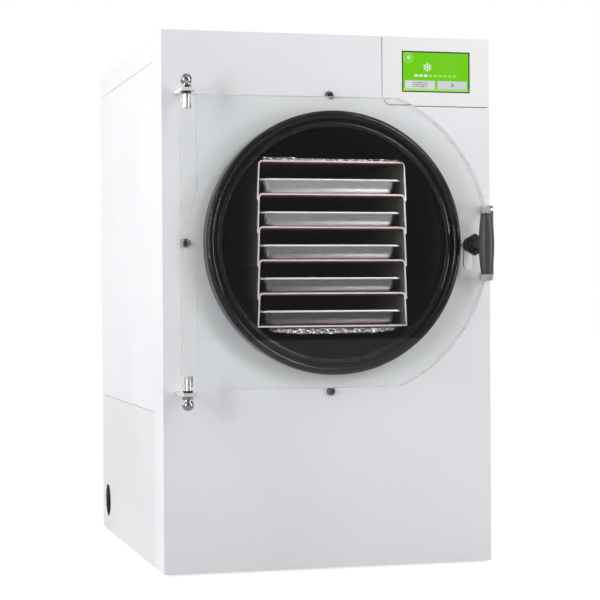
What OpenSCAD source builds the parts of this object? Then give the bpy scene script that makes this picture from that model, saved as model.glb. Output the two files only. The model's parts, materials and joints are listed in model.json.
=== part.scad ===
// Home freeze dryer: a folded-steel cabinet around a vacuum chamber with a clear, side-hung door.
// Origin at the middle of the footprint on the floor, +Z up, the door faces -Y.
// "Panel frame" below means: y = 0 on the front panel's face and y grows towards the back.

/* [Cabinet] */
// Width of the cabinet
cab_w = 460; // [440:1:520]
// Height of the cabinet from the floor to its top
cab_h = 724; // [700:1:820]
// Depth of the cabinet from the front panel's face to the back panel's face
cab_d = 535; // [520:1:640]
// Thickness of the painted sheet panels
sheet = 1.5; // [1:0.1:2]
// How far the front panel wraps round onto the sides and the top
front_wrap = 66; // [50:1:80]
// Height of the top panel's turned-down sides
top_skirt = 35; // [25:1:50]
// Height of the seam between a side panel and its lower cover
lower_seam_z = 214; // [200:1:222]
// Height of the base pan's turned-up edge
pan_edge_z = 20; // [16:1:26]
// Width of the side panel's strip behind the lower cover
rear_strip = 20; // [16:1:30]
// Gap at the seams between panels
seam = 0.5; // [0.3:0.1:1]
// Gap between the control cover and the front panel
cover_seam = 0.9; // [0.4:0.1:1]
// How far the feet hold the cabinet off the floor
foot_gap = 3; // [2:0.5:6]
// Radius of a foot
foot_r = 18; // [14:1:24]
// Distance of the feet from the sides of the cabinet
foot_inset = 40; // [30:1:60]
// Leg of the angle posts in the corners
post_leg = 25; // [20:1:30]
// Thickness of posts, deck and base pan
frame_t = 2; // [1.5:0.5:3]

/* [Chamber] */
// Inner radius of the vacuum chamber
chamber_r = 158; // [156:0.5:166]
// Height of the chamber's axis above the floor
chamber_z = 441.5; // [436:0.5:446]
// Length of the chamber behind the front panel's face
chamber_len = 492; // [488:1:500]
// Wall of the chamber
chamber_wall = 3; // [2:0.5:4]
// How far the chamber's rim stands in front of the panel
rim_reach = 9; // [6:0.5:12]
// Thickness of the mounting flange and of the end plate
flange_t = 6; // [5:0.5:8]
// Outer radius of the mounting flange
flange_r = 210; // [206:0.5:210]
// Radius of the circle of flange bolts
bolt_circle_r = 200; // [196:0.5:202]
// Thread radius of a flange bolt
flange_bolt_r = 3; // [2.5:0.1:4]
// Head radius of a flange bolt
flange_head_r = 6; // [5:0.1:7]
// Head height of a flange bolt
flange_head_h = 5; // [3:0.5:6]
// How far the door gasket's inside stands in from the chamber's wall
gasket_lip = 3; // [1:0.5:3.5]
// Width of the door gasket, from its inside to its outside
gasket_w = 22; // [20:0.5:23]
// Height of the door gasket in front of the panel
gasket_h = 25; // [22:0.5:28]
// Radius of the gasket's outer bead
outer_bead_r = 6; // [5:0.5:7]
// Radius of the gasket's inner bead
inner_bead_r = 4; // [3:0.5:4.5]
// How far the inner bead stays behind the outer one
inner_bead_drop = 3.5; // [2:0.5:6]
// Turns of the cooling coil
coil_turns = 11; // [6:1:12]
// Radius of the coil's tube
coil_tube_r = 4.75; // [4:0.25:5]
// Thickness of the foam round the coil
foam_t = 16; // [12:1:18]

/* [Shelves and trays] */
// Width of the shelf rack
rack_w = 209; // [200:1:209]
// Depth of the shelf rack
rack_len = 480; // [470:1:485]
// How far the rack stands in front of the front panel's face, inside the rim
rack_reach = 5; // [0:0.5:7]
// Space between the rack's corners and the chamber's wall; it sets the height of the shelves
rack_corner_gap = 4.4; // [4:0.1:10]
// Thickness of the shelf sheets
shelf_t = 2; // [1.5:0.1:2.5]
// Outer radius of the shelves' bent corners
shelf_bend_r = 6; // [4:0.5:8]
// How far a shelf's sides spread from their top to their bottom
shelf_splay = 2; // [1:0.1:2.2]
// How far a shelf's sides reach down past the bend of the next shelf
shelf_lap = 3; // [1:0.5:6]
// Thickness of the heater mats under the shelves
mat_t = 2; // [1.5:0.1:3]
// Space between a heater mat and the rack's sides
mat_margin = 8; // [6:0.5:12]
// Space between a tray's rim and the rack's sides
tray_side_gap = 4.5; // [3:0.5:12]
// Length of a tray over its rim
tray_len = 457; // [440:1:460]
// Height of a tray
tray_h = 20; // [15:0.5:25]
// Width of the tray's rim
tray_rim = 5; // [4:0.5:8]
// Height of the rim's turned-down edge
tray_lip = 2.4; // [1.8:0.1:4]
// Radius of the tray's upright corners
tray_corner_r = 8; // [6:1:16]
// Radius of the tray's bottom edge
tray_edge_r = 5; // [3:0.5:7]
// How much the tray's walls slope in from top to bottom
tray_slope = 4; // [2:0.5:8]
// Thickness of the tray's sheet
tray_t = 1; // [0.8:0.1:1.5]
// Distance of the trays behind the rack's front edge
tray_set_back = 3; // [2:1:20]
// Thickness of the foil-wrapped pad on top of the rack
foil_t = 6.5; // [3:0.5:8]
// Thickness of the foil-wrapped pad under the rack
low_foil_t = 10.5; // [5:0.5:11]

/* [Door] */
// Thickness of the clear door plate
door_t = 25.4; // [20:0.1:30]
// Radius of the door's curved right-hand edge
door_r = 210.5; // [206:0.5:212]
// Half of the door's height, flat at top and bottom
door_half_h = 193; // [185:0.5:200]
// Distance of the door's straight edge from the chamber's axis
door_left = 212; // [208:0.5:218]
// Gap between the door and the gasket
seal_gap = 0.3; // [0.2:0.05:0.5]
// Depth of the step at the back of the hinge side
step_depth = 5; // [3:0.5:5.5]
// Distance of the step's straight shoulder from the chamber's axis
step_x = 190; // [186:0.5:192]
// Radius of the step's round part
step_r = 202; // [200:0.5:204]

/* [Hinges] */
// Distance of the hinge axis from the door's straight edge
hinge_edge = 8; // [7:0.5:10]
// Distance of the hinge axis in front of the panel
hinge_out = 37; // [36.5:0.5:40]
// Radius of the hinge studs
stud_r = 4; // [3:0.1:4.5]
// Outer radius of the threaded inserts in the door
insert_r = 5.5; // [5:0.1:5.8]
// Depth of the threaded inserts
insert_len = 18; // [12:1:24]
// Gap between the door and a hinge ear
ear_gap = 3.5; // [2.5:0.5:5]
// Thickness of the hinge ears
ear_t = 4; // [2.5:0.5:4]
// Width of the hinge ears
ear_w = 18; // [16:0.5:20]
// Length of the hinge ears in front of the panel
ear_len = 54; // [52:1:58]
// Running clearance of turning joints
run_gap = 0.06; // [0.03:0.01:0.09]
// Width across the flats of the acorn nuts
acorn_af = 13; // [12:0.5:15]
// Radius of the acorn nuts' domes
acorn_dome_r = 8.1; // [7:0.1:8.4]

/* [Latch] */
// Distance of the latch axis from the chamber's axis
latch_x = 187; // [186:0.5:190]
// How far the latch axis lies below the chamber's axis
latch_drop = 3; // [0:0.5:6]
// Radius of the latch spindle
spindle_r = 4; // [3:0.1:4.5]
// Width across the flats of the latch base
base_af = 26; // [24:0.5:30]
// Thickness of the latch base
base_h = 8; // [6:0.5:10]
// Distance of the grip's axis in front of the door
grip_reach = 50; // [42:0.5:54]
// Length of the grip
grip_len = 81; // [70:1:84]
// Radius of the grip at its middle
grip_r = 10.3; // [9.5:0.1:13]
// Radius of the grip at its ends
grip_end_r = 7.3; // [6:0.1:9]
// Length of the tongue from the latch axis
tongue_len = 34; // [31:0.5:36]
// Width of the tongue
tongue_w = 14; // [10:0.5:16]
// Thickness of the tongue
tongue_t = 4; // [3:0.5:5]
// Gap between the door's curved edge and the keeper
keeper_gap = 2; // [1.5:0.1:3]
// Thickness of the keeper's steel
keeper_t = 3; // [2.5:0.5:4]
// Length of the keeper in front of the panel
keeper_reach = 52; // [48:1:56]
// Half of the keeper's height
keeper_half_h = 51.5; // [50:0.5:58]
// Height of the keeper's legs
keeper_leg = 8; // [6:0.5:10]
// Clearance between the tongue and what it slides past
tongue_gap = 1; // [0.5:0.1:1.5]

/* [Control panel] */
// Width of the control cover
cover_w = 154.5; // [140:0.5:160]
// Height of the control cover
cover_h = 94; // [80:1:100]
// Corner radius of the control cover
cover_r = 9; // [5:0.5:12]
// Width of the window for the display
window_w = 98; // [90:0.5:110]
// Height of the window for the display
window_h = 56; // [50:0.5:66]
// Width of the black seal round the display
seal_w = 1.6; // [1:0.1:3]

/* [Services] */
// Radius of the hose hole in the left lower cover
hose_hole_r = 25; // [20:0.5:28]
// Distance of the hose hole behind the front panel's face
hose_hole_y = 482; // [478:1:486]
// Height of the hose hole above the floor
hose_hole_z = 50; // [48:1:60]
// Radius of the vacuum pipe
vac_pipe_r = 9.5; // [8:0.5:10]
// Thread radius of the vacuum port
vac_port_r = 7.1; // [6:0.1:8]
// Radius of the drain spigot
drain_r = 5; // [4:0.5:6]
// How far the drain spigot stands out of the back
drain_reach = 12; // [10:1:20]
// Radius of the compressor's shell
comp_r = 82; // [70:1:86]
// Height of the compressor
comp_h = 176; // [150:1:180]
// Radius of the fan
fan_r = 84; // [70:1:86]
// Number of fan blades
fan_blades = 5; // [3:1:7]
// Radius of the fan's shaft
fan_shaft_r = 3; // [2.5:0.1:4]
// Thickness of the condenser block
cond_t = 38; // [30:1:42]

/* [Hidden] */
$fn = 96;
eps = 0.01;
clear = 0.3;

half_w = cab_w / 2;
inner_w = half_w - sheet;

// Door, from the gasket forwards (panel frame, so these are negative)
door_back_y = -gasket_h - seal_gap;
door_front_y = door_back_y - door_t;
grip_y = door_front_y - grip_reach;

// Footprint: the grip is the front end, the drain spigot the back end
front_reach = grip_r - grip_y;
front_y = (front_reach - cab_d - drain_reach) / 2;

// Chamber and what wraps it
shell_r = chamber_r + chamber_wall;
gasket_in_r = chamber_r - gasket_lip;
gasket_r = gasket_in_r + gasket_w;
opening_r = shell_r + 2;
coil_r = shell_r + 2.6 + coil_tube_r;
foam_in_r = coil_r + coil_tube_r + clear;
foam_r = foam_in_r + foam_t;
jacket_y0 = sheet + flange_t + clear;
jacket_y1 = chamber_len - 56;
cradle_y = jacket_y1 + 4;
cradle_t = 12;
cradle_half_w = 110;
cradle_foot = 14;
end_plate_y = chamber_len;
deck_top_z = chamber_z - flange_r - clear;
deck_z = deck_top_z - frame_t;

// Base pan
pan_z = foot_gap + sheet;
pan_top_z = pan_z + frame_t;

// Shelves: number 0 is the roof of the rack, trays stand on numbers 1 to 5
tray_count = 5;
rack_y0 = -rack_reach;
rack_y1 = rack_y0 + rack_len;
rack_half_w = rack_w / 2;
rack_corner_r = chamber_r - rack_corner_gap;
rack_half_h = sqrt(rack_corner_r * rack_corner_r - rack_half_w * rack_half_w) - shelf_t;
shelf_pitch = 2 * rack_half_h / tray_count;
tray_y0 = rack_y0 + tray_set_back;
tray_w = rack_w - 2 * (shelf_t + tray_side_gap);
mat_half_w = rack_half_w - mat_margin;
rack_floor_z = -rack_half_h - shelf_t;
function shelf_z(i) = rack_half_h - i * shelf_pitch;
skid_x1 = rack_half_w - 2;
skid_w = 13;
skid_set_back = 90;
foil_reach_r = gasket_in_r - 1.5;
low_foil_z = rack_floor_z - mat_t - low_foil_t;
foil_half_w = min(rack_half_w - 9.5, sqrt(pow(foil_reach_r, 2) - pow(rack_half_h + foil_t, 2)));
low_foil_half_w = min(skid_x1 - skid_w - 1.5, sqrt(pow(foil_reach_r, 2) - pow(low_foil_z, 2)));
end_gap = 8;

// Hinge
hinge_x = -(door_left - hinge_edge);
ear_z = door_half_h + ear_gap;
stud_base = 2;
stud_out = 8;
stud_len = insert_len - stud_base + ear_gap + ear_t + stud_out;
acorn_hex_h = 4.5;
acorn_dome_z = 11.5;
acorn_neck_r = acorn_af / 2 - 0.3;

// Latch
washer_t = 1;
tongue_y0 = door_back_y + washer_t + clear;
tongue_hub_r = 9;
latch_nut_h = 6;
latch_nut_af = 14;
neck_r = 6.5;
collar_r = 9.5;
collar_h = 6;
keeper_x = door_r + keeper_gap;
keeper_web_y = tongue_y0 - tongue_gap;
keeper_foot = 12;
keeper_corner_r = 9;
keeper_screw_x = keeper_x + keeper_t + 6.5;
keeper_screw_z = keeper_half_h - keeper_foot / 2;

// Control panel
cover_x0 = half_w - cover_w;
cover_z0 = cab_h - cover_h;
window_x = half_w - cover_w / 2;
window_z = cab_h - cover_h / 2;
display_t = 6;
frame_lap = 3;

// Cooling coil and its headers
coil_y0 = jacket_y0 + 34;
coil_pitch = (jacket_y1 - 16 - coil_y0) / (coil_turns - 1);
header_angle = 30;
header_x = round(coil_r * cos(header_angle));
header_z = -round(coil_r * sin(header_angle));
header_y = jacket_y1 + 3;
drain_y = coil_y0 + coil_pitch / 2;
riser_y = header_y + 14;

// Machinery below the deck
comp_x = 118;
comp_y = 330;
comp_z = pan_top_z + 16;
comp_shell = comp_h - 20;
comp_dome = 40;
stub_h = 8;
foot_hole_r = 6;
foot_hole_in = 10;
cond_x0 = -inner_w + 6;
cond_y0 = 96;
cond_y1 = 376;
cond_overhang = 6;
cond_z0 = pan_top_z;
cond_z1 = deck_z - 16;
fan_y = (cond_y0 + cond_y1) / 2;
fan_z = (cond_z0 + cond_z1) / 2;
shroud_x0 = cond_x0 + cond_t;
shroud_depth = 26;
shroud_t = 2;
fan_x = shroud_x0 + shroud_depth - 10;
fan_hub_r = 20;
fan_hub_h = 16;
motor_x = fan_x + 26;
motor_len = 44;
motor_r = 26;
strap_x = motor_x + 14;
strap_t = 3;
strap_half_h = 12;
vac_port_x = -inner_w + 12;
entry_x = 170;
entry_z = 60;
rocker_z = entry_z + 34;
entry_half_w = 13.6;
entry_lip = 3.4;
inlet_half_w = 11.6;
inlet_half_h = 8.5;
inlet_depth = 16;
rocker_bay_w = 8;
rocker_bay_h = 11;
drain_x = 40;
drain_z = 44;
line_r = 4;
vac_y = hose_hole_y;
port_len = 26;
socket_len = 10;
socket_end_z = chamber_z - shell_r - 2 - clear;
drier_z = 45;
drier_neck = 8;
drier_len = 64;
drier_r = 10;
line_bend = 10;
cond_rows = 6;
cond_rise = (cond_z1 - cond_z0) / cond_rows;
comp_flat_z = comp_z + comp_shell;
comp_top_z = comp_flat_z + stub_h;

// Vents in the back panel
vent_l = 56;
vent_h = 5;
vent_step_x = 70;
vent_step_z = 14;

// ---- helpers --------------------------------------------------------------------------------

// Box between two corners
module slab(x0, x1, y0, y1, z0, z1) {
    translate([x0, y0, z0]) cube([x1 - x0, y1 - y0, z1 - z0]);
}

// Moves children from the panel frame into the model's frame
module from_front() {
    translate([0, front_y, 0]) children();
}

// The same, with the chamber's axis as the origin of x and z
module on_axis() {
    translate([0, front_y, chamber_z]) children();
}

// The same, with the latch's axis as the origin of x and z
module on_latch() {
    translate([latch_x, front_y, chamber_z - latch_drop]) children();
}

// Round bar along +Y
module bar_y(r, y0, y1) {
    translate([0, y0, 0]) rotate([-90, 0, 0]) cylinder(r = r, h = y1 - y0);
}

// Hexagonal bar along +Y, flats facing up and down, width af across the flats
module hex_y(af, y0, y1) {
    translate([0, y0, 0]) rotate([-90, 0, 0]) cylinder(r = af / sqrt(3), h = y1 - y0, $fn = 6);
}

// Ring along +Y
module ring_y(r_out, r_in, y0, y1) {
    difference() {
        bar_y(r_out, y0, y1);
        bar_y(r_in, y0 - 1, y1 + 1);
    }
}

// Round bar from one point to another
module rod(a, b, r) {
    d = b - a;
    tilt = atan2(norm([d[0], d[1]]), d[2]);
    turn = atan2(d[1], d[0]);
    translate(a) rotate([0, tilt, turn]) cylinder(r = r, h = norm(d), $fn = 32);
}

// Unit vector along v
function unit(v) = v / norm(v);

// Length that a bend of radius bend takes off each straight at corner i of pts
function bend_cut(pts, i, bend) = i == 0 || i == len(pts) - 1 ? 0 :
    let (u = unit(pts[i] - pts[i - 1]), v = unit(pts[i + 1] - pts[i]))
    bend * norm(v - u) / norm(v + u);

// Bend of a pipe at corner i of pts; child 0 is the pipe's section
module pipe_bend(pts, i, bend) {
    u = unit(pts[i] - pts[i - 1]);
    v = unit(pts[i + 1] - pts[i]);
    inward = unit(v - u * (u * v));
    c = pts[i] - u * bend_cut(pts, i, bend) + inward * bend;
    up = cross(-inward, u);
    multmatrix([[-inward[0], u[0], up[0], c[0]], [-inward[1], u[1], up[1], c[1]],
        [-inward[2], u[2], up[2], c[2]], [0, 0, 0, 1]])
        rotate_extrude(angle = acos(u * v)) translate([bend, 0]) children();
}

// Open tube along a list of points, with bends of one radius at its corners
module tube(pts, r, wall, bend) {
    for (i = [0 : len(pts) - 2]) {
        u = unit(pts[i + 1] - pts[i]);
        a = pts[i] + u * bend_cut(pts, i, bend);
        b = pts[i + 1] - u * bend_cut(pts, i + 1, bend);
        difference() {
            rod(a, b, r);
            rod(a - u, b + u, r - wall);
        }
    }
    if (len(pts) > 2)
        for (i = [1 : len(pts) - 2]) pipe_bend(pts, i, bend) difference() {
            circle(r = r, $fn = 32);
            circle(r = r - wall, $fn = 32);
        }
}

// Rounded rectangle centred on the origin
module round_rect(w, l, r, h) {
    linear_extrude(h) {
        square([w - 2 * r, l], center = true);
        square([w, l - 2 * r], center = true);
        for (x = [-1, 1], y = [-1, 1])
            translate([x * (w / 2 - r), y * (l / 2 - r)]) circle(r = r, $fn = 32);
    }
}

// Mirrored copy on the other side of the plane normal to dir
module both(dir) {
    children();
    mirror(dir) children();
}

// ---- cabinet --------------------------------------------------------------------------------

// The folded pan that everything below the deck stands on
module base_pan() color("white") from_front() {
    y1 = cab_d - sheet - clear;
    difference() {
        union() {
            slab(-inner_w + clear, inner_w - clear, sheet + clear, y1, pan_z, pan_top_z);
            both([1, 0, 0]) slab(inner_w - clear - frame_t, inner_w - clear,
                front_wrap + post_leg + 1, y1 - post_leg - 1, pan_z, pan_edge_z);
        }
        for (x = [-1, 1], y = [foot_inset, cab_d - foot_inset])
            translate([x * (half_w - foot_inset), y, pan_z - 1]) cylinder(r = 3.2, h = frame_t + 2);
    }
}

// Low rubber feet, each with a stem pressed up through the pan
module feet() color("black") from_front() {
    for (x = [-1, 1], y = [foot_inset, cab_d - foot_inset])
        translate([x * (half_w - foot_inset), y, 0]) {
            cylinder(r1 = foot_r - 1, r2 = foot_r, h = 1);
            translate([0, 0, 1]) cylinder(r = foot_r, h = foot_gap - 1);
            cylinder(r = foot_r - 4, h = pan_z);
            cylinder(r = 3, h = pan_top_z + 3);
        }
}

// Places of the screws that hold the back panel
back_screw_r = 2;
back_screw_x = half_w - 14;
back_screws = [for (x = [-1, 1], z = [pan_edge_z + 25, cab_h / 2, cab_h - top_skirt - 25])
    [x * back_screw_x, z]];

// One angle post; one leg lies against the side sheets, the other faces along Y
module angle_post(y0, y1, leg_y) {
    slab(inner_w - frame_t, inner_w, y0, y1, pan_top_z, cab_h - sheet);
    slab(inner_w - post_leg, inner_w, leg_y, leg_y + frame_t, pan_top_z, cab_h - sheet);
}

// Four angle posts between the pan and the top
module corner_posts() color("gainsboro") from_front() {
    front_y0 = front_wrap - post_leg;
    back_y1 = cab_d - sheet;
    both([1, 0, 0]) angle_post(front_y0, front_wrap + post_leg, front_y0);
    difference() {
        both([1, 0, 0]) angle_post(back_y1 - post_leg, back_y1, back_y1 - frame_t);
        for (p = back_screws)
            translate([p[0], 0, p[1]]) bar_y(back_screw_r + run_gap, back_y1 - 5, back_y1 + 1);
    }
}

// Outline of the control cover's place, with one round corner, seen from the front
module cover_outline(grow) {
    r = cover_r + grow;
    x0 = cover_x0 - grow;
    z0 = cover_z0 - grow;
    translate([x0 + r, z0 + r]) circle(r = r);
    translate([x0 + r, z0]) square([half_w + 1 - x0 - r, cab_h + 1 - z0]);
    translate([x0, z0 + r]) square([half_w + 1 - x0, cab_h + 1 - z0 - r]);
}

// A block of the control cover's outline, along +Y
module cover_block(grow, y0, y1) {
    translate([0, y1, 0]) rotate([90, 0, 0]) linear_extrude(y1 - y0) cover_outline(grow);
}

// Deep folded front: the face with its round opening, and the wraps onto the sides, top and bottom
module front_panel() color("whitesmoke") from_front() {
    difference() {
        union() {
            slab(-half_w, half_w, 0, sheet, foot_gap, cab_h);
            both([1, 0, 0]) slab(inner_w, half_w, 0, front_wrap, foot_gap, cab_h);
            slab(-half_w, half_w, 0, front_wrap, cab_h - sheet, cab_h);
            slab(-half_w, half_w, 0, foot_inset - foot_r - 2, foot_gap, pan_z);
        }
        translate([0, 0, chamber_z]) bar_y(opening_r, -1, sheet + 1);
        for (a = [0 : 90 : 270])
            translate([bolt_circle_r * cos(a), 0, chamber_z + bolt_circle_r * sin(a)])
                bar_y(flange_bolt_r + clear, -1, sheet + 1);
        translate([0, 0, chamber_z]) both([0, 0, 1])
            slab(hinge_x - ear_w / 2 - clear, hinge_x + ear_w / 2 + clear, -1, sheet + 1,
                ear_z - clear, ear_z + ear_t + clear);
        translate([keeper_screw_x, 0, chamber_z]) both([0, 0, 1])
            translate([0, 0, keeper_screw_z]) bar_y(2.2, -1, sheet + 1);
        cover_block(cover_seam, -1, front_wrap + 1);
    }
}

// Separate cover for the display in the top right corner, folded like the front
module control_cover() color("white") from_front() {
    difference() {
        intersection() {
            cover_block(0, 0, front_wrap);
            union() {
                slab(cover_x0, half_w, 0, sheet, cover_z0, cab_h);
                slab(inner_w, half_w, 0, front_wrap, cover_z0, cab_h);
                slab(cover_x0, half_w, 0, front_wrap, cab_h - sheet, cab_h);
            }
        }
        slab(window_x - window_w / 2, window_x + window_w / 2, -1, sheet + 1,
            window_z - window_h / 2, window_z + window_h / 2);
    }
}

// Side sheet with a strip that runs down behind the lower cover
module side_sheet() {
    y0 = front_wrap + seam;
    slab(inner_w, half_w, y0, cab_d, lower_seam_z + seam, cab_h - top_skirt - seam);
    slab(inner_w, half_w, cab_d - rear_strip + seam, cab_d, foot_gap, lower_seam_z + 2 * seam);
}

module left_side_panel() color("white") from_front() mirror([1, 0, 0]) side_sheet();

module right_side_panel() color("white") from_front() side_sheet();

// Lower side cover from the pan up to the seam
module lower_sheet() {
    slab(inner_w, half_w, front_wrap + seam, cab_d - rear_strip, foot_gap, lower_seam_z);
}

// The left one has the round hole that the vacuum hose goes through
module left_lower_cover() color("gainsboro") from_front() {
    difference() {
        mirror([1, 0, 0]) lower_sheet();
        translate([-half_w - 1, hose_hole_y, hose_hole_z]) rotate([0, 90, 0])
            cylinder(r = hose_hole_r, h = sheet + 2);
    }
}

module right_lower_cover() color("gainsboro") from_front() lower_sheet();

// Lid with turned-down sides and back
module top_panel() color("white") from_front() {
    y0 = front_wrap + seam;
    slab(-half_w, half_w, y0, cab_d, cab_h - sheet, cab_h);
    both([1, 0, 0]) slab(inner_w, half_w, y0, cab_d, cab_h - top_skirt, cab_h);
    slab(-half_w, half_w, cab_d - sheet, cab_d, cab_h - top_skirt, cab_h);
}

// Rows of vent slots cut through the back, from their lowest left corner
module vents(x0, z0, columns, rows) {
    for (c = [0 : columns - 1], i = [0 : rows - 1])
        slab(x0 + c * vent_step_x, x0 + c * vent_step_x + vent_l, cab_d - sheet - 1, cab_d + 1,
            z0 + i * vent_step_z, z0 + i * vent_step_z + vent_h);
}

// Back sheet with two grilles, the power entry's cut-out and the drain's hole
module back_panel() color("white") from_front() {
    difference() {
        slab(-inner_w + clear, inner_w - clear, cab_d - sheet, cab_d, pan_top_z + clear,
            cab_h - top_skirt - seam);
        vents(-170, 56, 3, 9);
        vents(-98, cab_h - 130, 3, 4);
        slab(entry_x - entry_half_w - clear, entry_x + entry_half_w + clear, cab_d - sheet - 1,
            cab_d + 1, entry_z - inlet_half_h - entry_wall - clear,
            rocker_z + rocker_bay_h + entry_wall + clear);
        translate([drain_x, 0, drain_z]) bar_y(drain_r + 2 + clear, cab_d - sheet - 1, cab_d + 1);
        for (p = back_screws)
            translate([p[0], 0, p[1]]) bar_y(back_screw_r + clear, cab_d - sheet - 1, cab_d + 1);
    }
}

// Pan-head screws in the back panel
module panel_screws() color("silver") from_front() {
    for (p = back_screws) translate([p[0], 0, p[1]]) {
        bar_y(back_screw_r, cab_d - sheet - frame_t - 4, cab_d);
        difference() {
            bar_y(4, cab_d, cab_d + 2.4);
            for (a = [0, 90]) rotate([0, a, 0]) slab(-2.4, 2.4, cab_d + 1.2, cab_d + 3, -0.5, 0.5);
        }
    }
}

// Centre and radius of each pipe that passes the deck
deck_holes = [[0, vac_y, vac_pipe_r], [0, drain_y, drain_r + 1],
    [header_x, riser_y, line_r], [-header_x, riser_y, line_r]];

// Deck that carries the chamber and closes off the machinery below
module chamber_deck() color("gainsboro") from_front() {
    difference() {
        slab(-inner_w + frame_t + clear, inner_w - frame_t - clear, sheet + ear_t + clear,
            cab_d - sheet - frame_t - clear, deck_z, deck_top_z);
        both([1, 0, 0])
            slab(inner_w - post_leg - clear, inner_w, front_wrap - post_leg - clear,
                front_wrap - post_leg + frame_t + clear, deck_z - 1, deck_top_z + 1);
        for (h = deck_holes)
            translate([h[0], h[1], deck_z - 1]) cylinder(r = h[2] + 2, h = frame_t + 2);
    }
    both([1, 0, 0])
        slab(inner_w - frame_t - clear - 20, inner_w - frame_t - clear, front_wrap + post_leg + 1,
            cab_d - sheet - post_leg - 1, deck_z - 14, deck_z);
}

// Saddle under the back of the chamber
module chamber_cradle() color("gainsboro") from_front() {
    difference() {
        union() {
            slab(-cradle_half_w, cradle_half_w, cradle_y, cradle_y + cradle_t, deck_top_z,
                chamber_z - cradle_half_w);
            slab(-cradle_half_w, cradle_half_w, cradle_y - cradle_foot, cradle_y + cradle_t,
                deck_top_z, deck_top_z + 3);
        }
        translate([0, 0, chamber_z])
            bar_y(shell_r + clear, cradle_y - cradle_foot - 1, cradle_y + cradle_t + 1);
    }
}

// ---- chamber --------------------------------------------------------------------------------

// Short socket welded under the chamber for a pipe of radius r
module socket_outside(y, r) {
    translate([0, y, -shell_r - socket_len]) cylinder(r = r + 2.5, h = socket_len + chamber_wall);
}

module socket_inside(y, r) {
    translate([0, y, -shell_r - socket_len - 1]) cylinder(r = r + run_gap, h = socket_len - 1);
    translate([0, y, -shell_r - socket_len]) cylinder(r = r - 1.5, h = socket_len + 20);
}

// Welded vacuum vessel: tube, mounting flange, flat end, vacuum and drain sockets
module chamber_shell() color("dimgray") on_axis() {
    difference() {
        union() {
            bar_y(shell_r, -rim_reach, end_plate_y + flange_t);
            bar_y(flange_r, sheet, sheet + flange_t);
            socket_outside(vac_y, vac_pipe_r);
            socket_outside(drain_y, drain_r + 1);
        }
        bar_y(chamber_r, -rim_reach - 1, end_plate_y);
        for (a = [0 : 90 : 270])
            translate([bolt_circle_r * cos(a), 0, bolt_circle_r * sin(a)])
                bar_y(flange_bolt_r + run_gap, 0, sheet + flange_t + 1);
        socket_inside(vac_y, vac_pipe_r);
        socket_inside(drain_y, drain_r + 1);
    }
}

// Flange bolts: a round head with a hexagon socket, on a washer face
module flange_bolts() color("dimgray") on_axis() {
    for (a = [0 : 90 : 270]) translate([bolt_circle_r * cos(a), 0, bolt_circle_r * sin(a)])
        difference() {
            union() {
                bar_y(flange_bolt_r, 0, sheet + flange_t + 4);
                bar_y(flange_head_r, -1, 0);
                translate([0, -1, 0]) rotate([90, 0, 0])
                    cylinder(r1 = flange_head_r - 0.4, r2 = flange_head_r - 2, h = flange_head_h - 1);
            }
            hex_y(3.6, -flange_head_h - 1, -flange_head_h + 2.5);
        }
}

// Moulded rubber ring with two beads; a groove in its back grips the chamber's rim
module door_gasket() color("black") on_axis() {
    outer_c = gasket_r - outer_bead_r;
    inner_c = gasket_in_r + inner_bead_r;
    rotate([-90, 0, 0]) rotate_extrude() difference() {
        union() {
            translate([gasket_in_r, -gasket_h + outer_bead_r + 3])
                square([gasket_r - gasket_in_r, gasket_h - outer_bead_r - 3]);
            translate([outer_c, -gasket_h + outer_bead_r]) circle(r = outer_bead_r, $fn = 48);
            translate([outer_c - outer_bead_r, -gasket_h + outer_bead_r])
                square([2 * outer_bead_r, 4]);
            translate([inner_c, -gasket_h + inner_bead_drop + inner_bead_r])
                circle(r = inner_bead_r, $fn = 48);
            translate([gasket_in_r, -gasket_h + inner_bead_drop + inner_bead_r])
                square([2 * inner_bead_r, 6]);
        }
        translate([chamber_r - clear, -rim_reach - clear])
            square([chamber_wall + 2 * clear, rim_reach + 1]);
    }
}

// Cooling coil: rings brazed on to two headers that run out at the back of the jacket
module evaporator_coil() color("peru") on_axis() {
    for (i = [0 : coil_turns - 1]) translate([0, coil_y0 + i * coil_pitch, 0]) rotate([-90, 0, 0])
        rotate_extrude() translate([coil_r, 0]) circle(r = coil_tube_r, $fn = 32);
    both([1, 0, 0]) translate([header_x, 0, header_z])
        bar_y(line_r, coil_y0 - coil_tube_r, header_y);
}

// Foam jacket round the coil, and a foam disc behind the end plate
module chamber_insulation() color([0.2, 0.2, 0.22]) on_axis() {
    difference() {
        bar_y(foam_r, jacket_y0, jacket_y1);
        bar_y(foam_in_r, jacket_y0 - 1, jacket_y1 + 1);
        translate([0, drain_y, -foam_r - 5]) cylinder(r = drain_r + 4, h = 60);
    }
    bar_y(shell_r, end_plate_y + flange_t, end_plate_y + flange_t + 18);
}

// ---- shelves and trays ----------------------------------------------------------------------

// Closed outline of a shelf and its sides, set in from the outside by in_by, down to low
module bent_outline(z, in_by, low) {
    r = shelf_bend_r - in_by;
    x = rack_half_w - shelf_splay - shelf_bend_r;
    bend = [for (a = [90 : -15 : 0]) [x + r * cos(a), z - shelf_bend_r + r * sin(a)]];
    half = concat(bend, [[rack_half_w - in_by, low]]);
    polygon(concat(half, [for (i = [len(half) - 1 : -1 : 0]) [-half[i][0], half[i][1]]]));
}

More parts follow.
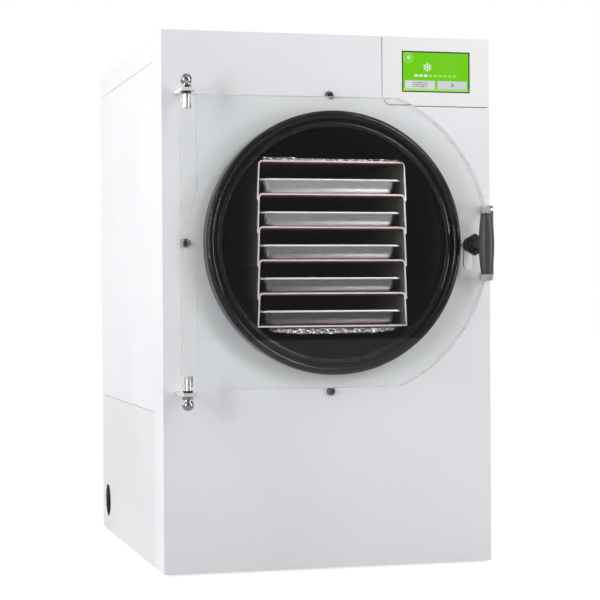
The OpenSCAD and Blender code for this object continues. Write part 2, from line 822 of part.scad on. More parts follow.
// Six shelves: sheets bent down at both sides, each welded inside the one above; the lowest
// tier is closed by a flat floor
module shelf_rack() color("silver") on_axis() {
    last = tray_count - 1;
    translate([0, rack_y1, 0]) rotate([90, 0, 0]) linear_extrude(rack_len) {
        for (i = [0 : last - 1]) let (z = shelf_z(i), low = shelf_z(i + 1) - shelf_bend_r - shelf_lap)
            difference() {
                bent_outline(z, 0, low);
                bent_outline(z, shelf_t, low - eps);
            }
        difference() {
            bent_outline(shelf_z(last), 0, rack_floor_z);
            bent_outline(shelf_z(last), shelf_t, rack_floor_z + shelf_t);
        }
    }
}

// Two slides that carry the rack on the round chamber wall
module rack_skids() color("ivory") on_axis() {
    intersection() {
        both([1, 0, 0]) slab(skid_x1 - skid_w, skid_x1, rack_y0 + skid_set_back, rack_y1 - end_gap,
            -chamber_r, rack_floor_z);
        bar_y(chamber_r - clear, 0, chamber_len);
    }
}

// Silicone heater mats stuck under the shelves
module heater_mats() color("darkred") on_axis() {
    for (i = [0 : tray_count - 1])
        slab(-mat_half_w, mat_half_w, rack_y0 + 1, rack_y1 - end_gap,
            shelf_z(i) - shelf_t - mat_t, shelf_z(i) - shelf_t);
    slab(-low_foil_half_w, low_foil_half_w, rack_y0 + 1, rack_y1 - end_gap,
        rack_floor_z - mat_t, rack_floor_z);
}

// Solid block with sloping sides, round corners and a rounded bottom edge
module tray_block(w, l, r, slope, edge, h) {
    hull() {
        corner_discs(w / 2, l / 2, r, h - eps);
        for (a = [0 : 30 : 90]) let (inset = slope + edge * (1 - sin(a)))
            corner_discs(w / 2 - inset, l / 2 - inset, r, edge * (1 - cos(a)));
    }
}

// Thin discs in the four corners of a rectangle
module corner_discs(half_x, half_y, r, z) {
    for (x = [-1, 1], y = [-1, 1])
        translate([x * (half_x - r), y * (half_y - r), z]) cylinder(r = r, h = eps, $fn = 32);
}

// Pressed steel tray with sloping walls and a rolled rim; number i stands on shelf i
module tray(i) {
    w = tray_w - 2 * tray_rim;
    l = tray_len - 2 * tray_rim;
    rim_r = tray_corner_r + tray_rim;
    two_t = 2 * tray_t;
    translate([0, tray_y0 + tray_len / 2, shelf_z(i)]) difference() {
        union() {
            tray_block(w, l, tray_corner_r, tray_slope, tray_edge_r, tray_h);
            translate([0, 0, tray_h - tray_t]) round_rect(tray_w, tray_len, rim_r, tray_t);
            difference() {
                translate([0, 0, tray_h - tray_lip]) round_rect(tray_w, tray_len, rim_r, tray_lip);
                translate([0, 0, tray_h - tray_lip - 1])
                    round_rect(tray_w - two_t, tray_len - two_t, rim_r - tray_t, tray_lip + 2);
            }
        }
        translate([0, 0, tray_t]) tray_block(w - two_t, l - two_t, tray_corner_r - tray_t, tray_slope,
            tray_edge_r - tray_t, tray_h);
    }
}

module tray_1() color("silver") on_axis() tray(1);
module tray_2() color("silver") on_axis() tray(2);
module tray_3() color("silver") on_axis() tray(3);
module tray_4() color("silver") on_axis() tray(4);
module tray_5() color("silver") on_axis() tray(5);

// Foil-wrapped pads above and below the rack
module foil_pads() color("lightgray") on_axis() {
    y0 = rack_y0 + 2;
    y1 = rack_y1 - end_gap;
    slab(-foil_half_w, foil_half_w, y0, y1, rack_half_h, rack_half_h + foil_t);
    slab(-low_foil_half_w, low_foil_half_w, y0, y1, low_foil_z, low_foil_z + low_foil_t);
}

// ---- door and hinges ------------------------------------------------------------------------

// Outline of the door seen from the front: round on the right, straight on the left
module door_outline() {
    intersection() {
        translate([-door_left, -door_half_h]) square([door_left + door_r, 2 * door_half_h]);
        union() {
            circle(r = door_r);
            translate([-door_left, -door_half_h]) square([door_left, 2 * door_half_h]);
        }
    }
}

// The hinge side is thinner; the step follows the sealing face where that bulges past the line
module door_plate() color([0.85, 0.92, 0.95, 0.35]) on_axis() {
    difference() {
        translate([0, door_back_y, 0]) rotate([90, 0, 0]) linear_extrude(door_t) door_outline();
        difference() {
            slab(-door_left - 1, -step_x, door_back_y - step_depth, door_back_y + 1,
                -door_half_h - 1, door_half_h + 1);
            bar_y(step_r, door_back_y - step_depth - 1, door_back_y + 2);
        }
        both([0, 0, 1]) translate([hinge_x, -hinge_out, door_half_h - insert_len])
            cylinder(r = insert_r + run_gap, h = insert_len + 1);
        translate([latch_x, 0, -latch_drop])
            bar_y(spindle_r + 0.5, door_front_y - 1, door_back_y + 1);
    }
}

// Threaded inserts in the door's top and bottom edges
module hinge_inserts() color("silver") on_axis() {
    both([0, 0, 1]) translate([hinge_x, -hinge_out, door_half_h - insert_len]) difference() {
        cylinder(r = insert_r, h = insert_len);
        translate([0, 0, 2]) cylinder(r = stud_r + run_gap, h = insert_len);
    }
}

// Studs that turn in the ears
module hinge_studs() color("silver") on_axis() {
    both([0, 0, 1]) translate([hinge_x, -hinge_out, door_half_h - insert_len + stud_base + clear])
        cylinder(r = stud_r, h = stud_len);
}

// Plastic washers between the door and the ears
module hinge_washers() color("black") on_axis() {
    both([0, 0, 1]) translate([hinge_x, -hinge_out, door_half_h]) difference() {
        cylinder(r = 6.5, h = ear_gap - clear);
        translate([0, 0, -1]) cylinder(r = stud_r + run_gap, h = ear_gap + 2);
    }
}

// Domed nuts on the ends of the studs
module acorn_nuts() color("silver") on_axis() {
    both([0, 0, 1]) translate([hinge_x, -hinge_out, ear_z + ear_t + clear]) difference() {
        union() {
            cylinder(r = acorn_af / sqrt(3), h = acorn_hex_h, $fn = 6);
            translate([0, 0, acorn_dome_z]) sphere(r = acorn_dome_r);
            cylinder(r = acorn_neck_r, h = acorn_dome_z);
        }
        translate([0, 0, -1]) cylinder(r = stud_r + run_gap, h = stud_out + 2);
    }
}

// Ears that carry the door, each with a plate behind the front panel
ear_plate_h = 26;
module hinge_brackets() color("silver") on_axis() {
    both([0, 0, 1]) difference() {
        union() {
            slab(hinge_x - ear_w / 2, hinge_x + ear_w / 2, -ear_len, sheet + ear_t, ear_z, ear_z + ear_t);
            slab(hinge_x - ear_w / 2 - 4, hinge_x + ear_w / 2 + 16, sheet, sheet + ear_t,
                ear_z - 2, ear_z + ear_plate_h);
        }
        translate([hinge_x, -hinge_out, ear_z - 1]) cylinder(r = stud_r + run_gap, h = ear_t + 2);
    }
}

// ---- latch ----------------------------------------------------------------------------------

// Hexagonal bearing for the spindle with a round collar, on the front of the door
module latch_base() color("black") on_latch() {
    difference() {
        union() {
            rotate([0, 30, 0]) hex_y(base_af, door_front_y - base_h, door_front_y);
            bar_y(collar_r, door_front_y - base_h - collar_h, door_front_y);
        }
        bar_y(spindle_r + run_gap, door_front_y - base_h - collar_h - 1, door_front_y + 1);
    }
}

// Plastic washer behind the door
module latch_washer() color("black") on_latch()
    ring_y(tongue_hub_r, spindle_r + 0.5, door_back_y, door_back_y + washer_t);

// Spindle from the grip to the nut
module latch_spindle() color("silver") on_latch()
    bar_y(spindle_r, grip_y - 3, tongue_y0 + tongue_t + latch_nut_h + 1.5);

// Half outline of the grip: an arc from end to end, closed by small round corners
grip_half = grip_len / 2;
grip_bulge = grip_r - grip_end_r;
grip_arc_r = (grip_half * grip_half + grip_bulge * grip_bulge) / (2 * grip_bulge);
grip_corner = 2.5;
function grip_x(z) = grip_r - grip_arc_r + sqrt(grip_arc_r * grip_arc_r - z * z);
function corner_pt(s, a) = [grip_end_r - grip_corner + grip_corner * cos(a),
    s * (grip_half - grip_corner + grip_corner * sin(a))];

// Barrel-shaped grip, upright when the door is free to open, with its neck and spindle socket
module latch_grip() color([0.2, 0.2, 0.22]) on_latch() {
    flat = grip_half - grip_corner;
    arc = [for (z = [-flat : flat / 10 : flat + eps]) [grip_x(z), z]];
    top = [for (a = [30 : 30 : 90]) corner_pt(1, a)];
    bottom = [for (a = [90 : -30 : 30]) corner_pt(-1, a)];
    difference() {
        union() {
            translate([0, grip_y, 0]) rotate_extrude()
                polygon(concat([[0, -grip_half]], bottom, arc, top, [[0, grip_half]]));
            bar_y(neck_r, grip_y, door_front_y - base_h - collar_h - clear);
        }
        bar_y(spindle_r + run_gap, grip_y - 3.5, 0);
    }
}

// Tongue: hangs down at rest and swings behind the keeper with a quarter turn of the grip
module latch_tongue() color("silver") on_latch() {
    y1 = tongue_y0 + tongue_t;
    difference() {
        union() {
            bar_y(tongue_hub_r, tongue_y0, y1);
            slab(-tongue_w / 2, tongue_w / 2, tongue_y0, y1, tongue_w / 2 - tongue_len, 0);
            translate([0, 0, tongue_w / 2 - tongue_len]) bar_y(tongue_w / 2, tongue_y0, y1);
        }
        bar_y(spindle_r + run_gap, tongue_y0 - 1, y1 + 1);
    }
}

// Nut behind the tongue
module latch_nut() color("silver") on_latch() {
    y0 = tongue_y0 + tongue_t;
    difference() {
        hex_y(latch_nut_af, y0, y0 + latch_nut_h);
        bar_y(spindle_r + run_gap, y0 - 1, y0 + latch_nut_h + 1);
    }
}

// Keeper: an upright steel plate with a window behind its front bar, on two small feet
module keeper_bracket() color("silver") on_axis() {
    r = keeper_corner_r;
    x1 = keeper_x + keeper_t;
    window = keeper_half_h - keeper_leg;
    difference() {
        union() {
            translate([keeper_x, 0, 0]) rotate([90, 0, 90]) linear_extrude(keeper_t) {
                translate([-keeper_reach + r, -keeper_half_h])
                    square([keeper_reach - r, 2 * keeper_half_h]);
                translate([-keeper_reach, -keeper_half_h + r])
                    square([keeper_reach, 2 * (keeper_half_h - r)]);
                for (z = [-1, 1]) translate([-keeper_reach + r, z * (keeper_half_h - r)]) circle(r = r);
            }
            both([0, 0, 1]) slab(keeper_x, x1 + keeper_foot, -keeper_t, 0,
                keeper_half_h - keeper_foot, keeper_half_h);
        }
        slab(keeper_x - 1, x1 + eps, keeper_web_y, 1, -window, window);
        both([0, 0, 1]) translate([keeper_screw_x, 0, keeper_screw_z]) bar_y(2.2, -keeper_t - 1, 1);
    }
    both([0, 0, 1]) slab(keeper_x, x1, -keeper_t, 0, window - keeper_foot + keeper_leg, window);
}

// Screws through the keeper's feet
module keeper_screws() color("silver") on_axis() {
    both([0, 0, 1]) translate([keeper_screw_x, 0, keeper_screw_z]) {
        bar_y(2, -keeper_t, sheet + 6);
        difference() {
            bar_y(3.6, -keeper_t - 2.2, -keeper_t);
            hex_y(2.5, -keeper_t - 3, -keeper_t - 1);
        }
    }
}

// ---- controls -------------------------------------------------------------------------------

// Black seal in the window, with a lip behind the sheet
module display_seal() color("black") from_front() translate([window_x, 0, window_z]) {
    w = window_w / 2;
    h = window_h / 2;
    difference() {
        union() {
            slab(-w + 0.1, w - 0.1, 0.2, sheet, -h + 0.1, h - 0.1);
            slab(-w - frame_lap, w + frame_lap, sheet, sheet + 1, -h - frame_lap, h + frame_lap);
        }
        slab(-w + seal_w, w - seal_w, -1, sheet + 2, -h + seal_w, h - seal_w);
    }
}

// Touch display: its glass fills the seal, its frame lies behind it
module touch_display() color([0.44, 0.82, 0.06]) from_front() translate([window_x, 0, window_z]) {
    w = window_w / 2;
    h = window_h / 2;
    slab(-w + seal_w + 0.1, w - seal_w - 0.1, 0.8, sheet + 1, -h + seal_w + 0.1, h - seal_w - 0.1);
    slab(-w - frame_lap, w + frame_lap, sheet + 1, sheet + 1 + display_t, -h - frame_lap,
        h + frame_lap);
}

// Board behind the display, on four spacers, with a chip and a plug
spacer_len = 6;
board_t = 1.6;
chip_w = 30;
plug_w = 34;
plug_h = 16;
module control_board() color("darkgreen") from_front() translate([window_x, 0, window_z]) {
    w = window_w / 2;
    h = window_h / 2;
    y0 = sheet + 1 + display_t;
    y1 = y0 + spacer_len;
    y2 = y1 + board_t;
    slab(-w - frame_lap, w + frame_lap, y1, y2, -h - frame_lap, h + frame_lap);
    for (x = [-1, 1], z = [-1, 1]) translate([x * w, 0, z * h]) bar_y(2.5, y0, y1);
    slab(-w + 6, -w + 6 + chip_w, y2, y2 + 6, -h + 8, -h + 8 + chip_w);
    slab(w - 6 - plug_w, w - 6, y2, y2 + 12, h - plug_h, h);
}

// Power and relay board, standing on the base pan behind the compressor
power_x = 70;
power_y = 452;
power_w = 80;
power_h = 150;
power_plate = 4;
relay_w = 14;
relay_h = 22;
relay_step = 18;
module power_board() color("darkgreen") from_front() translate([power_x, power_y, pan_top_z]) {
    slab(0, power_w, 0, board_t, 2 * power_plate, power_h);
    slab(-power_plate, power_w + power_plate, board_t, power_plate, 0, power_h + power_plate);
    for (i = [0 : 3]) translate([6 + i * relay_step, 0, 30]) slab(0, relay_w, -16, 0, 0, relay_h);
    slab(10, power_w - 10, -30, 0, 70, 110);
}

// Appliance inlet and switch in one housing in the back panel
entry_depth = 24;
entry_wall = 3.1;
blade_step = 7;
blade_h = 4;
module power_entry() color("black") from_front() translate([entry_x, 0, 0]) {
    difference() {
        union() {
            slab(-entry_half_w, entry_half_w, cab_d - entry_depth, cab_d,
                entry_z - inlet_half_h - entry_wall, rocker_z + rocker_bay_h + entry_wall);
            slab(-entry_half_w - entry_lip, entry_half_w + entry_lip, cab_d, cab_d + 2,
                entry_z - inlet_half_h - 2 * entry_lip, rocker_z + rocker_bay_h + 2 * entry_lip);
        }
        slab(-inlet_half_w, inlet_half_w, cab_d - inlet_depth, cab_d + 3,
            entry_z - inlet_half_h, entry_z + inlet_half_h);
        slab(-rocker_bay_w, rocker_bay_w, cab_d - 10, cab_d + 3,
            rocker_z - rocker_bay_h, rocker_z + rocker_bay_h);
    }
    for (x = [-blade_step, 0, blade_step]) translate([x, 0, entry_z + (x == 0 ? 1 : -3)])
        slab(-1, 1, cab_d - inlet_depth, cab_d - 2, 0, blade_h);
    translate([-rocker_bay_w, 0, 0]) rocker_pin();
}

// The rocker turns on a pin across the housing
rocker_y = cab_d - 4;
rocker_half = 10;
module rocker_pin() {
    translate([0, rocker_y, rocker_z]) rotate([0, 90, 0]) cylinder(r = 1, h = 2 * rocker_bay_w);
}

// Rocker, shown with its lower half pressed in
rocker_tilt = 8;
module switch_rocker() color("black") from_front() translate([entry_x, rocker_y, rocker_z]) {
    difference() {
        rotate([rocker_tilt, 0, 0])
            slab(-rocker_bay_w + 0.6, rocker_bay_w - 0.6, -3, 4, -rocker_half, rocker_half);
        translate([-9, 0, 0]) rotate([0, 90, 0]) cylinder(r = 1 + run_gap, h = 18);
    }
}

// ---- cooling machinery ----------------------------------------------------------------------

// Sealed compressor: two deep-drawn halves with a weld bead, on a foot plate
module compressor() color([0.15, 0.15, 0.16]) from_front() translate([comp_x, comp_y, comp_z]) {
    rim = comp_r - comp_dome;
    plate_t = 3;
    arc = [for (a = [0 : 15 : 90]) [rim + comp_dome * cos(a), comp_shell - comp_dome * (1 - sin(a))]];
    low = [for (a = [90 : -15 : 0]) [rim + comp_dome * cos(a), 2 + comp_dome * (1 - sin(a))]];
    rotate_extrude() polygon(concat([[0, 2]], low, arc, [[0, comp_shell]]));
    translate([0, 0, comp_shell * 0.55]) cylinder(r = comp_r + 3, h = 4);
    difference() {
        slab(-comp_r, comp_r, -comp_r, comp_r, 0, plate_t);
        comp_feet() translate([0, 0, -1]) cylinder(r = foot_hole_r, h = plate_t + 2);
    }
    translate([0, 0, comp_shell]) cylinder(r = 10, h = stub_h);
}

// Children at the four feet of the compressor
module comp_feet() {
    at = comp_r - foot_hole_in;
    for (x = [-1, 1], y = [-1, 1]) translate([x * at, y * at, 0]) children();
}

// Rubber grommets under the compressor's foot plate
module compressor_mounts() color("black") from_front() translate([comp_x, comp_y, pan_top_z])
    comp_feet() {
        cylinder(r = foot_hole_r + 4, h = comp_z - pan_top_z);
        cylinder(r = foot_hole_r - run_gap, h = comp_z - pan_top_z + 6);
    }

// Finned condenser block: fins and tube passes
fin_t = 2;
fin_gaps = 17;
module condenser() color("silver") from_front() {
    gap = (cond_y1 - cond_y0 - 2 * fin_t) / fin_gaps;
    for (i = [0 : fin_gaps])
        slab(cond_x0, cond_x0 + cond_t, cond_y0 + i * gap, cond_y0 + i * gap + fin_t, cond_z0, cond_z1);
    for (i = [0 : cond_rows - 1], x = [0.3, 0.7])
        translate([cond_x0 + cond_t * x, 0, cond_z0 + (i + 0.5) * cond_rise])
            bar_y(line_r + 0.5, cond_y0 - cond_overhang, cond_y1 + cond_overhang);
}

// Shroud that ducts the air through the condenser, with the motor's cross strap
module fan_shroud() color("gray") from_front() {
    difference() {
        slab(shroud_x0, shroud_x0 + shroud_depth, cond_y0, cond_y1, cond_z0, cond_z1);
        slab(shroud_x0 - 1, shroud_x0 + shroud_depth - shroud_t, cond_y0 + shroud_t,
            cond_y1 - shroud_t, cond_z0 + shroud_t, cond_z1 - shroud_t);
        translate([shroud_x0, fan_y, fan_z]) rotate([0, 90, 0])
            cylinder(r = fan_r + 3, h = shroud_depth + 1);
    }
    difference() {
        union() {
            slab(strap_x, strap_x + strap_t, cond_y0, cond_y1, fan_z - strap_half_h,
                fan_z + strap_half_h);
            for (y = [cond_y0, cond_y1 - strap_t])
                slab(shroud_x0 + shroud_depth, strap_x + strap_t, y, y + strap_t,
                    fan_z - strap_half_h, fan_z + strap_half_h);
        }
        translate([motor_x, fan_y, fan_z]) rotate([0, 90, 0]) cylinder(r = motor_r + run_gap, h = 30);
    }
}

// Fan motor in the strap, with a bore for the fan's shaft
module fan_motor() color([0.25, 0.25, 0.27]) from_front() translate([motor_x, fan_y, fan_z])
    rotate([0, 90, 0]) difference() {
        union() {
            cylinder(r = motor_r, h = motor_len);
            translate([0, 0, strap_x - motor_x + strap_t + clear]) cylinder(r = motor_r + 2, h = 6);
            translate([0, 0, -5]) cylinder(r = 9, h = 6);
        }
        translate([0, 0, -6]) cylinder(r = fan_shaft_r + run_gap, h = 24);
    }

// Fan: hub, shaft and pitched blades
blade_pitch = 28;
blade_w = 28;
blade_t = 1.5;
module fan_blade() color("gray") from_front() translate([fan_x, fan_y, fan_z]) rotate([0, 90, 0]) {
    cylinder(r = fan_hub_r, h = fan_hub_h);
    cylinder(r = fan_shaft_r, h = motor_x - fan_x + 15);
    for (i = [0 : fan_blades - 1]) rotate([0, 0, i * 360 / fan_blades])
        translate([fan_hub_r - 2, 0, fan_hub_h / 2]) rotate([blade_pitch, 0, 0])
            slab(0, fan_r - fan_hub_r, -blade_w / 2, blade_w / 2, -blade_t / 2, blade_t / 2);
}

// Drier, upright in the liquid line, drawn down to the line's size at both ends
module filter_drier() color("peru") from_front() translate([-header_x, riser_y, drier_z]) {
    cylinder(r1 = line_r + 1, r2 = drier_r, h = drier_neck);
    translate([0, 0, drier_neck]) cylinder(r = drier_r, h = drier_len);
    translate([0, 0, drier_neck + drier_len]) cylinder(r1 = drier_r, r2 = line_r + 1, h = drier_neck);
}

// Copper lines: compressor to condenser, condenser to drier, drier to coil, coil to compressor
module refrigerant_lines() color("peru") from_front() {
    in_x = cond_x0 + cond_t * 0.7;
    in_z = cond_z1 - cond_rise / 2;
    out_x = cond_x0 + cond_t * 0.3;
    out_z = cond_z0 + cond_rise / 2;
    cond_end = cond_y1 + cond_overhang;
    over_y = comp_y + 72;
    high_z = deck_z - 10;
    low_z = deck_z - 25;
    coil_z = chamber_z + header_z;
    drier_top = drier_z + 2 * drier_neck + drier_len;
    suction = [header_x - 2 * line_bend - 2, comp_y + 28];
    tube([[comp_x, comp_y, comp_top_z], [comp_x, comp_y, high_z], [comp_x, over_y, high_z],
        [in_x, over_y, high_z], [in_x, over_y, in_z], [in_x, cond_end, in_z]], line_r, 1, line_bend);
    tube([[out_x, cond_end, out_z], [out_x, riser_y, out_z], [-header_x, riser_y, out_z],
        [-header_x, riser_y, drier_z]], line_r, 1, line_bend);
    tube([[-header_x, riser_y, drier_top], [-header_x, riser_y, coil_z], [-header_x, header_y, coil_z]],
        line_r, 1, line_bend);
    tube([[header_x, header_y, coil_z], [header_x, riser_y, coil_z], [header_x, riser_y, low_z],
        [header_x, suction[1], low_z], [suction[0], suction[1], low_z],
        [suction[0], suction[1], comp_flat_z]], line_r, 1, line_bend);
}

// ---- vacuum and drain -----------------------------------------------------------------------

// Pipe from the chamber's underside to the port behind the hose hole
module vacuum_pipe() color("silver") from_front() {
    tube([[0, vac_y, socket_end_z], [0, vac_y, hose_hole_z], [vac_port_x + port_len, vac_y, hose_hole_z]],
        vac_pipe_r, 1.5, 30);
}

// Threaded port for the vacuum hose
module vacuum_port() color("silver") from_front() translate([vac_port_x, vac_y, hose_hole_z])
    rotate([0, 90, 0]) difference() {
        union() {
            cylinder(r = vac_port_r, h = port_len);
            translate([0, 0, 14]) cylinder(r = 22 / sqrt(3), h = port_len - 14, $fn = 6);
        }
        translate([0, 0, -1]) cylinder(r = vac_port_r - 2.2, h = port_len + 2);
    }

// Drain tube from under the chamber to the fitting in the back
module drain_tube() color("ivory") from_front() {
    run_z = deck_z - 38;
    tube([[0, drain_y, socket_end_z], [0, drain_y, run_z], [drain_x, drain_y, run_z],
        [drain_x, cab_d - 75, run_z], [drain_x, cab_d - 75, drain_z],
        [drain_x, cab_d - sheet - 12, drain_z]], drain_r + 1, 1, 18);
}

// Drain spigot in the back panel
module drain_fitting() color("goldenrod") from_front() translate([drain_x, 0, drain_z])
    difference() {
        union() {
            bar_y(drain_r + 2, cab_d - sheet - 12, cab_d);
            bar_y(drain_r, cab_d - eps, cab_d + drain_reach);
            hex_y(20, cab_d - sheet - 6, cab_d - sheet);
        }
        bar_y(drain_r - 1.5, cab_d - 30, cab_d + drain_reach + 1);
    }

base_pan();
feet();
corner_posts();
front_panel();
left_side_panel();
right_side_panel();
left_lower_cover();
right_lower_cover();
top_panel();
back_panel();
panel_screws();
chamber_deck();
chamber_cradle();
chamber_shell();
flange_bolts();
door_gasket();
evaporator_coil();
chamber_insulation();
shelf_rack();
rack_skids();
heater_mats();
tray_1();
tray_2();
tray_3();
tray_4();
tray_5();
foil_pads();
hinge_brackets();
door_plate();
hinge_inserts();
hinge_studs();
hinge_washers();
acorn_nuts();
latch_base();
latch_washer();
latch_spindle();
latch_grip();
latch_tongue();
latch_nut();
keeper_bracket();
keeper_screws();
control_cover();
display_seal();
touch_display();
control_board();
power_board();
power_entry();
switch_rocker();
compressor();
compressor_mounts();
condenser();
fan_shroud();
fan_motor();
fan_blade();
filter_drier();
refrigerant_lines();
vacuum_pipe();
vacuum_port();
drain_tube();
drain_fitting();
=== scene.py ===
"""Home freeze dryer: finishes, softened edges, formed parts, studio and camera.

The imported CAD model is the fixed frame. Each sheet and machined part gets a copy with softened
edges that stands for it, pressed and crumpled parts are formed anew, and every piece rides on
the body it belongs to. Lengths are in metres; +Z is up and the door faces -Y.
"""

import json
import logging
import math
import random
from dataclasses import dataclass, field
from enum import Enum
from typing import Callable, ClassVar, Iterable

import bmesh
import bpy
from mathutils import Matrix, Vector, noise

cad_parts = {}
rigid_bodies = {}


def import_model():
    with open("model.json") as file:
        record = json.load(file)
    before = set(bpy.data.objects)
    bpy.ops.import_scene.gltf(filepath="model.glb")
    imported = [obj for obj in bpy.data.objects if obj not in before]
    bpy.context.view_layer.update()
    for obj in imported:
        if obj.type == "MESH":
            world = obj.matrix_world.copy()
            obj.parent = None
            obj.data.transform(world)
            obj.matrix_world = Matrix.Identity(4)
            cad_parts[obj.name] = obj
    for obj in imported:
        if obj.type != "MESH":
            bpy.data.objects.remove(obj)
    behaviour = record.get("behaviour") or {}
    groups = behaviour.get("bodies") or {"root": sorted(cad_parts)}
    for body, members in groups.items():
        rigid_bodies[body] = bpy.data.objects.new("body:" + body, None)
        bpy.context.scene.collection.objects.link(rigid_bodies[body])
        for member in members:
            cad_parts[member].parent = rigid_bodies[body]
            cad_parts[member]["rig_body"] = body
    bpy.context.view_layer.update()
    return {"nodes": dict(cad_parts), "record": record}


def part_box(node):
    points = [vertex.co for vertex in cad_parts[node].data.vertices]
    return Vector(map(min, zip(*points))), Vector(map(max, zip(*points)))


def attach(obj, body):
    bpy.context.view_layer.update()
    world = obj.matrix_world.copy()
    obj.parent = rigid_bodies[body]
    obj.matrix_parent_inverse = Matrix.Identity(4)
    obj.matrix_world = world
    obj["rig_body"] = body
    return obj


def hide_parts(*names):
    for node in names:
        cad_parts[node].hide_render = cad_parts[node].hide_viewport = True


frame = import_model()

log = logging.getLogger("freeze_dryer")
MM = 0.001
WELD = 2e-6
ORIGIN = (0, 0, 0)
Colour = Point = tuple[float, float, float]
Object = bpy.types.Object
Shape = bmesh.types.BMesh


def tone(code: str) -> Colour:
    """Linear colour of a display colour written as six hexadecimal digits."""
    parts = [int(code[i : i + 2], 16) / 255 for i in (0, 2, 4)]
    return tuple(p / 12.92 if p <= 0.04045 else ((p + 0.055) / 1.055) ** 2.4 for p in parts)


def shade(colour: Colour, share: float) -> Colour:
    """A colour made darker, or paler up to white, by a share."""
    return tuple(min(1.0, c * share) for c in colour)


# ---- shader maths ----


def maths(operation: str, reflected: bool = False) -> Callable[["Sock", "Value"], "Sock"]:
    """An operator that adds one Math node; the reflected form swaps its values."""

    def method(self: "Sock", other: "Value") -> "Sock":
        first, second = (other, self) if reflected else (self, other)
        return self.graph.node("ShaderNodeMath", {"operation": operation}, {0: first, 1: second})

    return method


class Sock:
    """An output socket that does arithmetic."""

    def __init__(self, graph: "Graph", socket: bpy.types.NodeSocket) -> None:
        """Keeps the socket and the graph it is in."""
        self.graph = graph
        self.socket = socket

    __add__ = maths("ADD")
    __radd__ = maths("ADD", True)
    __sub__ = maths("SUBTRACT")
    __rsub__ = maths("SUBTRACT", True)
    __mul__ = maths("MULTIPLY")
    __rmul__ = maths("MULTIPLY", True)
    most = maths("MAXIMUM")

    def ramp(self, low: float, high: float) -> "Sock":
        """0 below low, 1 above high, and a smooth step between them."""
        return self.graph.node(
            "ShaderNodeMapRange",
            {"interpolation_type": "SMOOTHSTEP"},
            {"Value": self, "From Min": low, "From Max": high},
        )


Value = float | Sock


class Graph:
    """The nodes of one material or world."""

    def __init__(self, tree: bpy.types.NodeTree) -> None:
        """Empties the tree."""
        self.tree = tree
        tree.nodes.clear()

    def node(
        self,
        kind: str,
        settings: dict | None = None,
        inputs: dict | None = None,
        out: int | str = 0,
    ) -> Sock | None:
        """Adds a node.

        Args:
            kind: the node's type.
            settings: its own properties, set before its sockets.
            inputs: values or links of its sockets, by name or number.
            out: the output that is wanted.

        Returns:
            That output, or None from a node without outputs.
        """
        made = self.tree.nodes.new(kind)
        for key, value in (settings or {}).items():
            setattr(made, key, value)
        for key, value in (inputs or {}).items():
            socket = made.inputs[key]
            if isinstance(value, Sock):
                self.tree.links.new(value.socket, socket)
            elif socket.type == "RGBA" and len(value) == 3:
                socket.default_value = (*value, 1.0)
            else:
                socket.default_value = value
        return Sock(self, made.outputs[out]) if made.outputs else None

    def place(self, stretch: Point | None = None) -> Sock:
        """Object coordinates, stretched along the three directions where that is asked for."""
        spot = self.node("ShaderNodeTexCoord", out="Object")
        if stretch is None:
            return spot
        return self.node("ShaderNodeVectorMath", {"operation": "MULTIPLY"}, {0: spot, 1: stretch})

    def clouds(self, spot: Sock, scale: float, detail: float = 2.0, rough: float = 0.5) -> Sock:
        """Soft noise with scale waves to the metre."""
        return self.node(
            "ShaderNodeTexNoise",
            inputs={"Vector": spot, "Scale": scale, "Detail": detail, "Roughness": rough},
        )

    def cells(self, spot: Sock, scale: float, feature: str = "F1") -> Sock:
        """Distance in a pattern of cells with scale cells to the metre."""
        return self.node(
            "ShaderNodeTexVoronoi", {"feature": feature}, {"Vector": spot, "Scale": scale}
        )

    def mix(self, share: Value, first: Colour | Sock, second: Colour | Sock) -> Sock:
        """Colour from first to second as share goes from 0 to 1."""
        return self.node(
            "ShaderNodeMix", {"data_type": "RGBA"}, {0: share, 6: first, 7: second}, out=2
        )

    def bump(self, height: Sock, depth: float, strength: float = 1.0) -> Sock:
        """Normal of a surface with that relief; depth is in metres."""
        return self.node(
            "ShaderNodeBump", inputs={"Height": height, "Distance": depth, "Strength": strength}
        )

    def vary(self, pattern: Sock, middle: float, swing: float) -> Sock:
        """A value that a pattern moves by half of the swing to either side of its middle."""
        return pattern * swing + (middle - swing / 2)

    def gloss(self, inputs: dict) -> Sock:
        """A Principled shader with those sockets."""
        return self.node("ShaderNodeBsdfPrincipled", inputs=inputs)

    def show(self, shader: Sock, kind: str = "ShaderNodeOutputMaterial") -> None:
        """Ends the graph in its output."""
        self.node(kind, inputs={"Surface": shader})


# ---- finishes ----


@dataclass(frozen=True)
class Finish:
    """What all finishes share: a name, and the one material that is made from it.

    Attributes:
        name: the finish's name.
        colour: its main colour.
        rough: its roughness.
        made: the materials made so far, by name.
    """

    name: str
    colour: Colour = (0.5, 0.5, 0.5)
    rough: float = 0.4
    made: ClassVar[dict[str, bpy.types.Material]] = {}

    def shader(self, graph: Graph) -> Sock:
        """Builds the surface; each finish has its own."""
        raise NotImplementedError

    def material(self) -> bpy.types.Material:
        """The finish's material, made the first time it is asked for."""
        if self.name not in self.made:
            material = bpy.data.materials.new(f"finish_{self.name}")
            material.use_nodes = True
            graph = Graph(material.node_tree)
            graph.show(self.shader(graph))
            self.made[self.name] = material
        return self.made[self.name]


